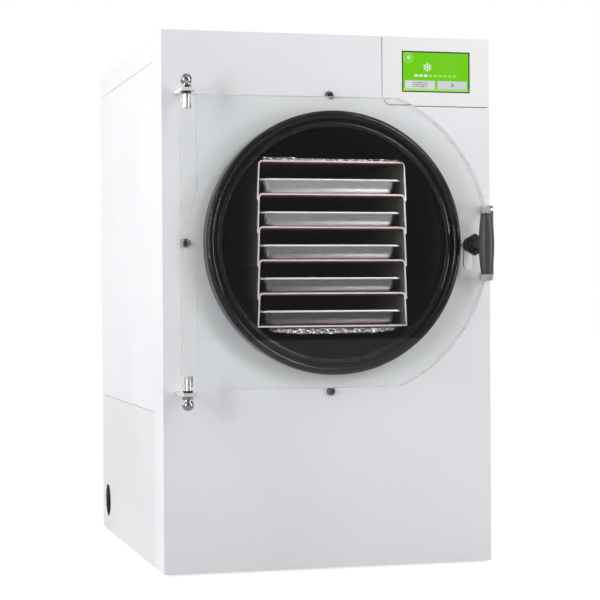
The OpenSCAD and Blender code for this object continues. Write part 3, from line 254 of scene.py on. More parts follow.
@dataclass(frozen=True)
class PowderCoat(Finish):
    """Baked powder paint with a faint orange peel.

    Attributes:
        peel: depth of the peel.
    """

    rough: float = 0.42
    peel: float = 3e-5

    def shader(self, graph: Graph) -> Sock:
        """Paint, slightly uneven in tone and gloss, over a fine relief."""
        spot = graph.place()
        drift = graph.clouds(spot, 5.0, 3.0)
        peel = graph.clouds(spot, 420.0, 2.0) + graph.clouds(spot, 1300.0, 1.0) * 0.5
        dull, pale = shade(self.colour, 0.975), shade(self.colour, 1.02)
        return graph.gloss({
            "Base Color": graph.mix(drift.ramp(0.3, 0.7), dull, pale),
            "Roughness": graph.vary(drift, self.rough, 0.1),
            "Normal": graph.bump(peel, self.peel, 0.35),
        })


class Grain(Enum):
    """Direction in which sheet steel was rolled or brushed."""

    ACROSS = (14.0, 700.0, 700.0)
    ALONG = (700.0, 14.0, 700.0)
    UPRIGHT = (700.0, 700.0, 14.0)


@dataclass(frozen=True)
class Steel(Finish):
    """Bare or plated metal with a brushed grain.

    Attributes:
        grain: direction of the brushing.
        depth: depth of the brushing.
        stain: how much darker its cloudy patches are.
    """

    rough: float = 0.26
    grain: Grain = Grain.ALONG
    depth: float = 1.2e-5
    stain: float = 0.12

    def shader(self, graph: Graph) -> Sock:
        """Metal with fine parallel scratches and a soft drift in its tone."""
        spot = graph.place()
        lines = graph.clouds(graph.place(self.grain.value), 1.0, 4.0, 0.7)
        drift = graph.clouds(spot, 30.0, 3.0)
        dark = shade(self.colour, 1 - self.stain)
        return graph.gloss({
            "Base Color": graph.mix(drift * 0.5 + lines * 0.5, dark, self.colour),
            "Metallic": 1.0,
            "Roughness": lines * 0.14 + drift * 0.06 + (self.rough - 0.1),
            "Normal": graph.bump(lines, self.depth, 0.5),
        })


@dataclass(frozen=True)
class Polished(Finish):
    """Chrome and polished metal: a clear mirror with a few soft smears."""

    def shader(self, graph: Graph) -> Sock:
        """Mirror with faint smears."""
        smear = graph.clouds(graph.place(), 160.0, 3.0)
        return graph.gloss({
            "Base Color": graph.mix(smear, shade(self.colour, 0.94), self.colour),
            "Metallic": 1.0,
            "Roughness": graph.vary(smear, self.rough, 0.06),
        })


@dataclass(frozen=True)
class Rubber(Finish):
    """Moulded rubber, foam or silicone.

    Attributes:
        grit: relief of its skin.
        bloom: how much paler its dusty patches are.
        shine: specular level.
        patchy: how much the roughness changes from place to place.
    """

    grit: float = 3e-5
    bloom: float = 0.012
    shine: float = 0.4
    patchy: float = 0.16

    def shader(self, graph: Graph) -> Sock:
        """Dark rubber with a dusty bloom and a fine skin."""
        spot = graph.place()
        dust = graph.clouds(spot, 45.0, 5.0, 0.65)
        skin = graph.clouds(spot, 1500.0, 3.0) + graph.cells(spot, 600.0) * 0.4
        pale = tuple(c + self.bloom for c in self.colour)
        return graph.gloss({
            "Base Color": graph.mix(dust.ramp(0.45, 0.8), self.colour, pale),
            "Roughness": graph.vary(dust, self.rough, self.patchy),
            "Specular IOR Level": self.shine,
            "Normal": graph.bump(skin, self.grit, 0.5),
        })


@dataclass(frozen=True)
class Plastic(Finish):
    """Moulded plastic, from matt to glossy.

    Attributes:
        spark: depth of the spark-eroded texture.
    """

    spark: float = 2e-5

    def shader(self, graph: Graph) -> Sock:
        """Plastic with the texture of its mould."""
        spot = graph.place()
        drift = graph.clouds(spot, 25.0, 3.0)
        spark = graph.clouds(spot, 1800.0, 2.0)
        pale = tuple(min(1.0, c * 1.15 + 0.002) for c in self.colour)
        return graph.gloss({
            "Base Color": graph.mix(drift, self.colour, pale),
            "Roughness": graph.vary(drift, self.rough, 0.08),
            "Normal": graph.bump(spark, self.spark, 0.4),
        })


@dataclass(frozen=True)
class Acrylic(Finish):
    """Clear cast acrylic: light and lamps pass through it.

    Attributes:
        share: light that it lets through to what lies behind.
        bend: index of refraction.
    """

    colour: Colour = (0.985, 0.995, 0.99)
    share: Colour = (0.985, 0.99, 0.99)
    bend: float = 1.49

    def shader(self, graph: Graph) -> Sock:
        """Clear body with the finest wipe marks on its faces."""
        wipe = graph.clouds(graph.place((9.0, 9.0, 60.0)), 1.0, 5.0, 0.7)
        body = graph.gloss({
            "Base Color": self.colour,
            "Roughness": wipe.ramp(0.7, 0.95) * 0.012,
            "IOR": self.bend,
            "Transmission Weight": 1.0,
        })
        return self.pass_light(graph, body)

    def pass_light(self, graph: Graph, body: Sock) -> Sock:
        """Lets a share of the light through to what lies behind the body."""
        clear = graph.node("ShaderNodeBsdfTransparent", inputs={"Color": self.share})
        for kind in ("Is Diffuse Ray", "Is Shadow Ray"):
            path = graph.node("ShaderNodeLightPath", out=kind)
            body = graph.node("ShaderNodeMixShader", inputs={0: path, 1: body, 2: clear})
        return body


@dataclass(frozen=True)
class Satin(Acrylic):
    """Sawn and scraped edge of a clear sheet: milky, with a faint saw grain.

    Attributes:
        milk: share of the light that it scatters.
        veil: how far it hides what lies behind it.
    """

    colour: Colour = (0.98, 0.99, 0.99)
    share: Colour = (0.97, 0.98, 0.98)
    milk: float = 0.3
    veil: float = 0.45

    def shader(self, graph: Graph) -> Sock:
        """Scattering skin with clear acrylic showing through it."""
        saw = graph.clouds(graph.place((900.0, 30.0, 30.0)), 1.0, 3.0)
        body = graph.gloss({
            "Base Color": graph.mix(saw, shade(self.colour, 0.94), self.colour),
            "Roughness": saw * 0.12 + 0.3,
            "IOR": self.bend,
            "Transmission Weight": 1 - self.milk,
            "Alpha": self.veil,
        })
        return self.pass_light(graph, body)


@dataclass(frozen=True)
class Foil(Finish):
    """Crinkled aluminium foil, with painted glints along its creases.

    Attributes:
        slant: lean of the creases, in radians.
        crowd: creases to the metre along the three directions.
    """

    colour: Colour = (0.96, 0.96, 0.97)
    slant: float = 0.7
    crowd: Point = (90, 160, 330)

    def shader(self, graph: Graph) -> Sock:
        """Facets painted dull and crease lines left bright as painted glints, over a relief of
        mostly slanting creases.
        """
        turned = {"Vector": graph.place(), "Rotation": (0, self.slant, 0), "Scale": self.crowd}
        slanted = graph.node("ShaderNodeMapping", inputs=turned)
        creases = graph.cells(slanted, 1.0, "DISTANCE_TO_EDGE").ramp(0.02, 0.2)
        small = graph.cells(graph.place(), 700.0)
        # Facets are painted at 30 % of the foil's colour, so the crease lines show as painted
        # glints.
        return graph.gloss({
            "Base Color": graph.mix(creases, self.colour, shade(self.colour, 0.3)),
            "Metallic": 1.0,
            "Roughness": small * 0.12 + 0.18,
            "Normal": graph.bump(creases + small * 0.4, 7e-4, 0.8),
        })


@dataclass(frozen=True)
class Tube(Finish):
    """Copper or brass that has begun to tarnish.

    Attributes:
        tarnish: the colour of its dull patches.
    """

    rough: float = 0.24
    tarnish: Colour = (0.24, 0.10, 0.06)

    def shader(self, graph: Graph) -> Sock:
        """Bright metal with dull brown patches."""
        spot = graph.place()
        patch = graph.clouds(spot, 60.0, 5.0, 0.6).ramp(0.42, 0.68)
        fine = graph.clouds(spot, 900.0, 2.0)
        return graph.gloss({
            "Base Color": graph.mix(patch * 0.7, self.colour, self.tarnish),
            "Metallic": 1.0,
            "Roughness": patch * 0.22 + fine * 0.06 + (self.rough - 0.03),
            "Normal": graph.bump(fine, 1e-5, 0.4),
        })


@dataclass(frozen=True)
class Board(Finish):
    """Circuit board and its parts: lacquer with copper tracks showing through.

    Attributes:
        track: colour over the tracks.
        solder: colour of the solder points.
    """

    colour: Colour = (0.012, 0.10, 0.035)
    track: Colour = (0.04, 0.22, 0.07)
    solder: Colour = (0.55, 0.56, 0.58)

    def shader(self, graph: Graph) -> Sock:
        """Lacquer over a maze of tracks with bright solder points."""
        face = graph.place((1.0, 0.0, 1.0))
        maze = graph.cells(face, 260.0, "DISTANCE_TO_EDGE")
        lines = graph.mix(maze.ramp(0.02, 0.06), self.track, self.colour)
        tin = 1 - graph.cells(face, 340.0).ramp(0.1, 0.16)
        return graph.gloss({
            "Base Color": graph.mix(tin, lines, self.solder),
            "Metallic": tin,
            "Roughness": graph.clouds(graph.place(), 300.0) * 0.1 + 0.28,
        })


@dataclass(frozen=True)
class Lit(Finish):
    """A part of the display's picture, lit from behind.

    Attributes:
        other: colour that it drifts to here and there.
        glow: strength of its light.
    """

    other: Colour = (1.0, 1.0, 1.0)
    glow: float = 0.92

    def shader(self, graph: Graph) -> Sock:
        """Even light that changes a little here and there, under a glossy face."""
        drift = graph.clouds(graph.place(), 22.0, 1.0).ramp(0.35, 0.75)
        return graph.gloss({
            "Base Color": (0.002, 0.002, 0.002),
            "Roughness": graph.clouds(graph.place(), 400.0) * 0.04 + 0.06,
            "Specular IOR Level": 0.35,
            "Emission Color": graph.mix(drift, self.colour, self.other),
            "Emission Strength": self.glow,
        })


def tray_steel(number: int, colour: Colour, stain: float = 0.4) -> Steel:
    """Pressed steel of one tray; the lower trays are given darker colours, painted shade."""
    return Steel(f"tray_steel_{number}", colour, 0.22, Grain.ACROSS, 4e-5, stain)


class Coats(Enum):
    """The finishes of this machine."""

    WHITE = PowderCoat("white_coat", (0.86, 0.868, 0.89))
    COVER = PowderCoat("cover_coat", (0.80, 0.808, 0.825))
    CONTROL = PowderCoat("control_coat", (0.88, 0.88, 0.885), 0.36, 2e-5)
    PAN = PowderCoat("pan_coat", (0.70, 0.71, 0.72))
    ENAMEL = PowderCoat("black_enamel", (0.012, 0.012, 0.013), 0.3, 4e-5)
    CHAMBER = PowderCoat("chamber_black", (0.011, 0.011, 0.013))
    ZINC = Steel("zinc_sheet", (0.62, 0.63, 0.66), 0.34, Grain.UPRIGHT, 1e-5, 0.2)
    SCREW = Polished("zinc_screw", (0.70, 0.70, 0.72), 0.2)
    BOLT = Polished("dark_bolt", (0.23, 0.23, 0.245), 0.16)
    SHELF = Steel("shelf_steel", (0.98, 0.92, 0.90), 0.44)
    # Tray steels darken from tray 1 to tray 5: painted shade on the lower trays.
    TRAY_1 = tray_steel(1, (0.70, 0.70, 0.70), 0.3)
    TRAY_2 = tray_steel(2, (0.56, 0.545, 0.545), 0.35)
    TRAY_3 = tray_steel(3, (0.45, 0.445, 0.45))
    TRAY_4 = tray_steel(4, (0.32, 0.315, 0.32))
    TRAY_5 = tray_steel(5, (0.2, 0.19, 0.195))
    # Pale steel of the tray rims, which also paints the rolled rim's highlight.
    RIM_AND_HIGHLIGHT = Steel("rim_steel_and_highlight", (0.97, 0.965, 0.96), 0.5, Grain.ACROSS, 1e-5, 0.05)
    PLATED = Steel("plated_steel", (0.90, 0.90, 0.91), 0.42, Grain.UPRIGHT, 8e-6, 0.04)
    TURNED = Steel("turned_steel", (0.76, 0.76, 0.77), 0.22, Grain.UPRIGHT)
    EAR = Steel("ear_steel", (0.97, 0.97, 0.975), 0.5, Grain.ACROSS, 8e-6, 0.03)
    KEEPER = Polished("keeper_steel", (0.80, 0.80, 0.81), 0.12)
    CHROME = Polished("chrome", (0.50, 0.50, 0.52), 0.07)
    GASKET = Rubber("gasket_rubber", (0.002, 0.002, 0.004), 0.11, 2e-6, 0.001, 0.5, 0.02)
    FOOT = Rubber("foot_rubber", (0.012, 0.012, 0.012), 0.75, 5e-5)
    FOAM = Rubber("black_foam", (0.02, 0.02, 0.022), 0.85, 3e-4, 0.02)
    EDGE = Satin("door_edge")
    SILICONE = Rubber("red_silicone", (0.12, 0.014, 0.018), 0.45, 4e-5, 0.02)
    BLACK = Plastic("black_plastic", (0.011, 0.011, 0.012), 0.42)
    GRIP = Plastic("grip_plastic", (0.045, 0.043, 0.05), 0.38, 4e-6)
    HUB = Plastic("hub_plastic", (0.02, 0.02, 0.022), 0.2, 2e-6)
    NATURAL = Plastic("natural_plastic", (0.72, 0.70, 0.65))
    GLASS = Plastic("display_glass", (0.004, 0.006, 0.004), 0.12, 0.0)
    ACRYLIC = Acrylic("clear_acrylic")
    FOIL = Foil("aluminium_foil")
    FINS = Steel("fin_aluminium", (0.72, 0.73, 0.75), 0.3, Grain.UPRIGHT)
    COPPER = Tube("copper_tube", (0.80, 0.40, 0.25))
    BRASS = Tube("brass", (0.78, 0.58, 0.26), 0.2, (0.35, 0.22, 0.08))
    BOARD = Board("circuit_board")
    FIELD = Lit("screen_field", tone("74D412"), other=tone("7AD624"))
    BUTTON = Lit("screen_button", tone("D6D8DC"), other=tone("E6E7EA"))
    SIGN = Lit("screen_sign", tone("9A9CA4"), other=tone("86888F"))
    PALE = Lit("screen_pale", tone("A9E86C"), other=tone("B6EC82"))
    BRIGHT = Lit("screen_bright", tone("F1FBE8"), other=tone("FFFFFF"))


# ---- mesh work ----


def turn_true(mesh: bpy.types.Mesh, crease: float) -> None:
    """Smooths a mesh except along edges that turn more than crease degrees."""
    mesh.polygons.foreach_set("use_smooth", [True] * len(mesh.polygons))
    mesh.set_sharp_from_angle(angle=math.radians(crease))


def to_mesh(name: str, bm: Shape) -> bpy.types.Mesh:
    """Turns a finished shape into a mesh, and frees it."""
    mesh = bpy.data.meshes.new(name)
    bm.to_mesh(mesh)
    bm.free()
    return mesh


def place_object(name: str, data: bpy.types.ID) -> Object:
    """Puts an object with that data in the scene."""
    made = bpy.data.objects.new(name, data)
    bpy.context.scene.collection.objects.link(made)
    return made


def turn(bm: Shape, angle: float, axis: str, verts: list | None = None) -> None:
    """Turns a shape, or some of its corners, round an axis through the origin."""
    matrix = Matrix.Rotation(angle, 3, axis)
    bmesh.ops.rotate(bm, cent=ORIGIN, matrix=matrix, verts=verts or bm.verts)


def shift(bm: Shape, way: Iterable[float], verts: list | None = None) -> None:
    """Moves a shape, or some of its corners."""
    bmesh.ops.translate(bm, vec=way, verts=verts or bm.verts)


def block(bm: Shape, size: Iterable[float]) -> list[bmesh.types.BMVert]:
    """Adds a block round the origin and returns its corners."""
    made = bmesh.ops.create_cube(bm, size=1.0)["verts"]
    bmesh.ops.scale(bm, vec=size, verts=made)
    return made


def along(bm: Shape, axis: int, length: float) -> list[bmesh.types.BMEdge]:
    """Edges that reach further than a length along an axis."""
    return [e for e in bm.edges if abs((e.verts[0].co - e.verts[1].co)[axis]) > length]


def corners_of(made: dict) -> list[bmesh.types.BMVert]:
    """The corners among what an extrusion has made."""
    return [v for v in made["geom"] if isinstance(v, bmesh.types.BMVert)]


def lathe(outline: Iterable[tuple[float, float]], steps: int) -> Shape:
    """Spins a closed outline round the Y axis.

    Args:
        outline: radius and place along Y of each corner.
        steps: sides of the finished ring.

    Returns:
        The closed ring.
    """
    bm = bmesh.new()
    corners = [bm.verts.new((r, y, 0.0)) for r, y in outline]
    edges = [bm.edges.new(pair) for pair in zip(corners, corners[1:])]
    edges.append(bm.edges.new((corners[-1], corners[0])))
    bmesh.ops.spin(
        bm, geom=corners + edges, cent=ORIGIN, axis=(0, 1, 0), angle=math.tau, steps=steps,
        use_merge=True,
    )
    bmesh.ops.remove_doubles(bm, verts=bm.verts, dist=1e-6)
    bmesh.ops.recalc_face_normals(bm, faces=bm.faces)
    return bm


def rounded_plate(size: Vector, centre: Vector, radius: float) -> Shape:
    """A plate that faces Y, with round corners."""
    bm = bmesh.new()
    block(bm, size)
    bevel(bm, along(bm, 1, size.y / 2), radius, 6)
    shift(bm, centre)
    return bm


def bevel(bm: Shape, edges: list[bmesh.types.BMEdge], width: float, segments: int) -> None:
    """Rounds edges."""
    bmesh.ops.bevel(
        bm, geom=edges, offset=width, offset_type="OFFSET", segments=segments, profile=0.5,
        affect="EDGES", clamp_overlap=True, material=-1,
    )


def give_wall(piece: Object, thickness: float) -> None:
    """Gives a sheet its thickness, half to either side."""
    wall = piece.modifiers.new("wall", "SOLIDIFY")
    wall.thickness, wall.offset = thickness, 0.0


def sharp_edges(bm: Shape, angle: float) -> list[bmesh.types.BMEdge]:
    """Outer edges at which the surface turns more than angle degrees."""
    limit = math.radians(angle)
    return [
        e for e in bm.edges if e.is_manifold and e.is_convex and e.calc_face_angle(0.0) > limit
    ]


# ---- sub-assemblies ----


@dataclass
class Assembly:
    """What every sub-assembly does: softens CAD parts and adds pieces.

    Attributes:
        parts: what gets softened copies: a finish, a width in millimetres, and CAD nodes.
        crease: edges that turn more than this many degrees stay sharp.
        flat: faces that turn less than this many degrees become one face.
    """

    parts: ClassVar[tuple[tuple, ...]] = ()
    crease: float = 50.0
    flat: float = 0.4

    def build(self) -> None:
        """Softens the listed parts."""
        for coat, edge, *nodes in self.parts:
            for node in nodes:
                self.soften(node, coat, edge)

    def add(
        self,
        name: str,
        bm: Shape,
        coat: Coats,
        body: str,
        slot: str,
        stands_for: Iterable[str] = (),
        even: bool = True,
    ) -> Object:
        """Makes a piece from a finished shape and hands it to the frame.

        Args:
            name: the piece's name.
            bm: its shape, in place; it is freed.
            coat: its finish.
            body: the CAD body it rides on.
            slot: the record's material slot; not used.
            stands_for: CAD nodes that it replaces.
            even: keeps big flat faces flat beside soft edges.

        Returns:
            The piece.
        """
        mesh = to_mesh(name, bm)
        piece = place_object(name, mesh)
        turn_true(mesh, self.crease)
        mesh.materials.append(coat.value.material())
        if even:
            weigh = piece.modifiers.new("even_faces", "WEIGHTED_NORMAL")
            weigh.keep_sharp = True
        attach(piece, body)
        if stands_for:
            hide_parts(*stands_for)
        log.info("%s: %d faces on %s", name, len(mesh.polygons), body)
        return piece

    def copy_of(self, node: str) -> Shape:
        """A merged copy of a CAD node's mesh."""
        bm = bmesh.new()
        bm.from_mesh(frame["nodes"][node].data)
        bmesh.ops.remove_doubles(bm, verts=bm.verts, dist=WELD)
        return bm

    def stand_in(self, node: str, bm: Shape, coat: Coats) -> Object:
        """Stands a shape in for a CAD node, on the same body."""
        body = frame["nodes"][node]["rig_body"]
        return self.add(f"{node}_made", bm, coat, body, SLOTS[node], [node])

    def soften(self, node: str, coat: Coats, edge: float, sharp: float = 40.0) -> Object:
        """Stands a copy with softened edges in for a CAD node.

        Args:
            node: the CAD node.
            coat: the finish.
            edge: width of the softening in millimetres, 0 for none.
            sharp: edges that turn more than this many degrees are softened.

        Returns:
            The piece.
        """
        bm = self.copy_of(node)
        angle = math.radians(self.flat)
        bmesh.ops.dissolve_limit(bm, angle_limit=angle, verts=bm.verts, edges=bm.edges)
        if edge > 0:
            bevel(bm, sharp_edges(bm, sharp), edge * MM, 2)
        return self.stand_in(node, bm, coat)


SLOTS = {s["node"]: s["material_slot"] for s in frame["record"]["subparts"]}


@dataclass
class Cabinet(Assembly):
    """Folded sheets, posts, pan, feet and their screws."""

    parts = (
        (Coats.WHITE, 0.5, "front_panel", "left_side_panel", "right_side_panel", "top_panel"),
        (Coats.WHITE, 0.5, "back_panel"),
        (Coats.COVER, 0.5, "left_lower_cover", "right_lower_cover"),
        (Coats.PAN, 0.5, "base_pan"),
        (Coats.ZINC, 0.3, "corner_posts", "chamber_deck", "chamber_cradle"),
        (Coats.FOOT, 0.4, "feet"),
        (Coats.SCREW, 0.2, "panel_screws"),
    )


@dataclass
class Chamber(Assembly):
    """Vacuum vessel, its bolts, gasket, foam and cooling coil.

    Attributes:
        steps: sides of the gasket's ring.
        off_corner: turn that takes the CAD ring's corners off the plane of the cut, in radians.
    """

    parts = ((Coats.CHAMBER, 0.5, "chamber_shell"), (Coats.BOLT, 0.3, "flange_bolts"))
    steps: int = 240
    off_corner: float = 0.113

    def build(self) -> None:
        """Finishes the vessel and what wraps it."""
        super().build()
        self.respin("door_gasket", Coats.GASKET)
        self.soften("chamber_insulation", Coats.FOAM, 1.0)
        self.soften("evaporator_coil", Coats.COPPER, 0.0)

    def respin(self, node: str, coat: Coats) -> None:
        """Stands a finely spun copy in for a flat-sided CAD ring round an axis along Y."""
        low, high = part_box(node)
        axis = (low + high) / 2
        cad_ring = self.copy_of(node)
        shift(cad_ring, (-axis.x, 0, -axis.z))
        turn(cad_ring, self.off_corner, "Y")
        ring = lathe(self.outline(cad_ring), self.steps)
        cad_ring.free()
        shift(ring, (axis.x, 0, axis.z))
        self.stand_in(node, ring, coat)

    def outline(self, ring: Shape) -> list[tuple[float, float]]:
        """Cuts a ring round the Y axis and follows the edge of its upper cut.

        Args:
            ring: the ring; it gets the cut's edges.

        Returns:
            Radius and place along Y of each corner of the cut, in order.
        """
        whole = [*ring.verts, *ring.edges, *ring.faces]
        cut = bmesh.ops.bisect_plane(ring, geom=whole, plane_co=ORIGIN, plane_no=(1, 0, 0))
        links: dict[bmesh.types.BMVert, list[bmesh.types.BMVert]] = {}
        for edge in cut["geom_cut"]:
            if isinstance(edge, bmesh.types.BMEdge) and edge.verts[0].co.z > 0:
                for one, other in (edge.verts, reversed(edge.verts)):
                    links.setdefault(one, []).append(other)
        path, previous = [next(iter(links))], None
        while len(path) < len(links):
            step = next(v for v in links[path[-1]] if v is not previous)
            previous = path[-1]
            path.append(step)
        return [(vert.co.z, vert.co.y) for vert in path]


@dataclass(kw_only=True)
class FoilSheet(Assembly):
    """One crumpled sheet of foil: a front wall that folds over into the flat of the sheet.

    Attributes:
        half: half of its width.
        rise: how far it may stand off the face it lies on, downwards if negative.
        base: height of that face.
        swell: share of the rise that it reaches, at even steps from left to right.
        folds: folds to the metre on top, in the wall, and of the wall's fine creases.
        dent: depth of the wall's folds.
        seed: seed of the creases.
        crease: folds that turn more than this many degrees stay sharp.
    """

    half: float
    rise: float
    base: float
    swell: tuple[float, ...]
    folds: tuple[float, float, float] = (60, 75, 230)
    dent: float = 2.4 * MM
    seed: int = 11
    crease: float = 14.0

    def crumple(self, name: str, stands_for: Iterable[str] = ()) -> None:
        """Crumples a grid of cells between the front and the back of the CAD foil."""
        wall, gather, gap, rag, gauge = 0.25, 1.6, 0.2 * MM, 0.12 * MM, 0.06 * MM
        low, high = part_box("foil_pads")
        bm = bmesh.new()
        bmesh.ops.create_grid(bm, x_segments=190, y_segments=110, size=0.5)
        rng = random.Random(self.seed)
        for vert in bm.verts:
            u, v = vert.co.x + 0.5, vert.co.y + 0.5
            up, run = min(1.0, v / wall), max(0.0, (v - wall) / (1 - wall)) ** gather
            x = (u - 0.5) * 2 * self.half
            y = low.y + run * (high.y - low.y)
            height = self.base + self.height(u, x, y, up) + rng.uniform(-rag, rag) * up
            vert.co = Vector((x, y + self.depth(x, up, run) + gap, height))
        bmesh.ops.triangulate(bm, faces=bm.faces)
        bmesh.ops.recalc_face_normals(bm, faces=bm.faces)
        piece = self.add(name, bm, Coats.FOIL, "cabinet", "foil", stands_for, even=False)
        give_wall(piece, gauge)

    def height(self, u: float, x: float, y: float, up: float) -> float:
        """How far the sheet stands off the face it lies on, at a share u of its width."""
        least, more = 0.62, 0.42
        spans = len(self.swell) - 1
        step = min(int(u * spans), spans - 1)
        part = u * spans - step
        full = self.swell[step] * (1 - part) + self.swell[step + 1] * part
        across = self.fold(Vector((x, y, 0)) * self.folds[0] + self.start())
        return self.rise * min(1.0, full * up * (least + more * across))

    def depth(self, x: float, up: float, run: float) -> float:
        """How far the wall is dented inwards; the dents end soon behind it."""
        sway, steep, fine, foot, reach, fade = 1.1, 2.2, 0.35, 0.08, 0.9, 25
        slant = Vector((x + sway * up * self.rise, steep * up * self.rise, 0))
        coarse = self.fold(slant * self.folds[1] + 2 * self.start())
        face = coarse + fine * self.fold(slant * self.folds[2] + self.start())
        wave = math.sin(math.pi * min(1.0, foot + (1 - foot) * up) * reach)
        return face * self.dent * wave * max(0.0, 1 - run * fade)

    def start(self) -> Vector:
        """Where in the noise the sheet's folds begin."""
        return Vector((self.seed, math.copysign(3.7, self.rise), 0))

    def fold(self, spot: Vector) -> float:
        """Height between 0 and 1 of a crumpled sheet at a point: flat facets, sharp folds."""
        near, next_near = noise.voronoi(spot)[0][:2]
        return min(1.0, (next_near - near) * 1.5) * (0.75 + 0.25 * noise.noise(spot * 3))


@dataclass
class Rack(Assembly):
    """Shelves, skids, heater mats, pressed trays, and the foil above and below.

    Attributes:
        rim: width of a tray's rim.
        slope: how far a tray's walls lean in.
        corner: radius of a tray's upright corners.
        foot: radius between a tray's walls and its floor.
        lip: height of the rolled rim.
        roll: radius of the rim's outer edge.
        throat: radius between a tray's walls and its rim.
        sheet: thickness of a tray.
        plain: share of the rim, from the wall, that keeps the tray's own finish.
        under_half: half of the width of the lower foil.
    """

    parts = (
        (Coats.SHELF, 0.3, "shelf_rack"),
        (Coats.BLACK, 0.4, "rack_skids"),
        (Coats.SILICONE, 0.3, "heater_mats"),
    )
    rim: float = 5 * MM
    slope: float = 4 * MM
    corner: float = 12 * MM
    foot: float = 5 * MM
    lip: float = 2.4 * MM
    roll: float = 1.0 * MM
    throat: float = 1.8 * MM
    sheet: float = 0.9 * MM
    plain: float = 0.4
    under_half: float = 88 * MM

    def build(self) -> None:
        """Makes the rack and fills it."""
        super().build()
        for number in range(1, 6):
            self.press(f"tray_{number}")
        self.foil()

    def press(self, node: str) -> None:
        """Presses one tray: a round-cornered pan with sloping walls and a rolled rim."""
        bent, level = 0.9, 0.01 * MM
        low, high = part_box(node)
        size = high - low
        width, length = size.x - 2 * self.rim, size.y - 2 * self.rim
        bm = self.pan(Vector((width, length, size.z)))
        lip_turn = self.mouth(bm)
        self.draw_out(bm, Vector((size.x / width, size.y / length, 1)), 0.0)
        self.draw_out(bm, Vector((1, 1, 1)), -self.lip)
        turned = [
            e
            for e in bm.edges
            if not e.is_boundary and e.calc_face_angle(0.0) > bent
            and min(v.co.z for v in e.verts) > size.z / 2 - level and e not in lip_turn
        ]
        bevel(bm, turned, self.roll, 3)
        bevel(bm, [e for e in lip_turn if e.is_valid], self.throat, 4)
        bmesh.ops.recalc_face_normals(bm, faces=bm.faces)
        middle = (low + high) / 2
        shift(bm, middle)
        # Each tray takes its own steel, darker lower down: painted shade.
        coat = Coats[node.upper()]
        piece = self.add(f"{node}_pressed", bm, coat, "cabinet", "tray_steel", [node])
        # Rim faces take the paler rim steel: a painted highlight along the rim.
        piece.data.materials.append(Coats.RIM_AND_HIGHLIGHT.value.material())
        for face in piece.data.polygons:
            spot = face.center - middle
            outside = max(abs(spot.x) - width / 2, abs(spot.y) - length / 2)
            if outside > self.rim * self.plain:
                face.material_index = 1
        give_wall(piece, self.sheet)

    def pan(self, size: Vector) -> Shape:
        """An open pan without its rim, round the origin; size is that of its mouth and height."""
        bm = bmesh.new()
        block(bm, size)
        top = [f for f in bm.faces if f.normal.z > 0.5]
        bmesh.ops.delete(bm, geom=top, context="FACES_ONLY")
        bevel(bm, along(bm, 2, size.z / 2), self.corner, 8)
        lean = 2 * self.slope
        narrow = Vector(((size.x - lean) / size.x, (size.y - lean) / size.y, 1))
        bmesh.ops.scale(bm, vec=narrow, verts=[v for v in bm.verts if v.co.z < 0])
        bevel(bm, [e for e in bm.edges if max(v.co.z for v in e.verts) < 0], self.foot, 4)
        return bm

    def mouth(self, bm: Shape) -> list[bmesh.types.BMEdge]:
        """The open edge of a tray."""
        return [e for e in bm.edges if e.is_boundary]

    def draw_out(self, bm: Shape, stretch: Vector, rise: float) -> None:
        """Draws a tray's open edge outwards by a stretch, then up by a rise."""
        verts = corners_of(bmesh.ops.extrude_edge_only(bm, edges=self.mouth(bm)))
        bmesh.ops.scale(bm, vec=stretch, verts=verts)
        shift(bm, (0, 0, rise), verts)

    def foil(self) -> None:
        """Crumples the foil on the rack's roof and under its floor."""
        low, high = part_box("foil_pads")
        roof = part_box("shelf_rack")[1].z
        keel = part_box("heater_mats")[0].z
        over = (1.0, 0.8, 0.62, 0.55, 0.6, 0.66, 0.5)
        under = (0.35, 0.95, 1.0, 0.97, 0.9, 0.85, 0.45)
        top = FoilSheet(half=high.x, rise=high.z - roof, base=roof, swell=over)
        top.crumple("foil_top", ["foil_pads"])
        bottom = FoilSheet(half=self.under_half, rise=low.z - keel, base=keel, swell=under)
        bottom.crumple("foil_under")


@dataclass
class Door(Assembly):
    """Clear door plate, hinge ears, studs, washers and acorn nuts.

    Attributes:
        facing: a face whose normal has a smaller share along Y is an edge of the plate.
        socket_in: how far in from the hinge side the hinge sockets lie.
        socket_up: how far from the bottom or top they lie.
        bore: half of the side of a square round the latch's bore.
    """

    parts = (
        (Coats.TURNED, 0.2, "hinge_inserts"),
        (Coats.TURNED, 0.3, "hinge_studs"),
        (Coats.BLACK, 0.3, "hinge_washers"),
        (Coats.EAR, 1.4, "hinge_brackets"),
    )
    facing: float = 0.6
    socket_in: tuple[float, float] = (1 * MM, 24 * MM)
    socket_up: tuple[float, float] = (2 * MM, 30 * MM)
    bore: float = 12 * MM

    def build(self) -> None:
        """Makes the door and its hinges."""
        self.satin_edges(self.soften("door_plate", Coats.ACRYLIC, 0.6))
        super().build()
        self.soften("acorn_nuts", Coats.CHROME, 0.5, 25.0)

    def satin_edges(self, plate: Object) -> None:
        """Gives the outer edges of the plate their scraped finish."""
        plate.data.materials.append(Coats.EDGE.value.material())
        low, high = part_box("door_plate")
        hub = sum(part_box("latch_base"), Vector()) / 2
        for face in plate.data.polygons:
            spot = face.center
            up = min(spot.z - low.z, high.z - spot.z)
            in_socket = (
                self.socket_in[0] < spot.x - low.x < self.socket_in[1]
                and self.socket_up[0] < up < self.socket_up[1]
            )
            in_bore = max(abs(spot.x - hub.x), abs(spot.z - hub.z)) < self.bore
            if abs(face.normal.y) < self.facing and not in_socket and not in_bore:
                face.material_index = 1


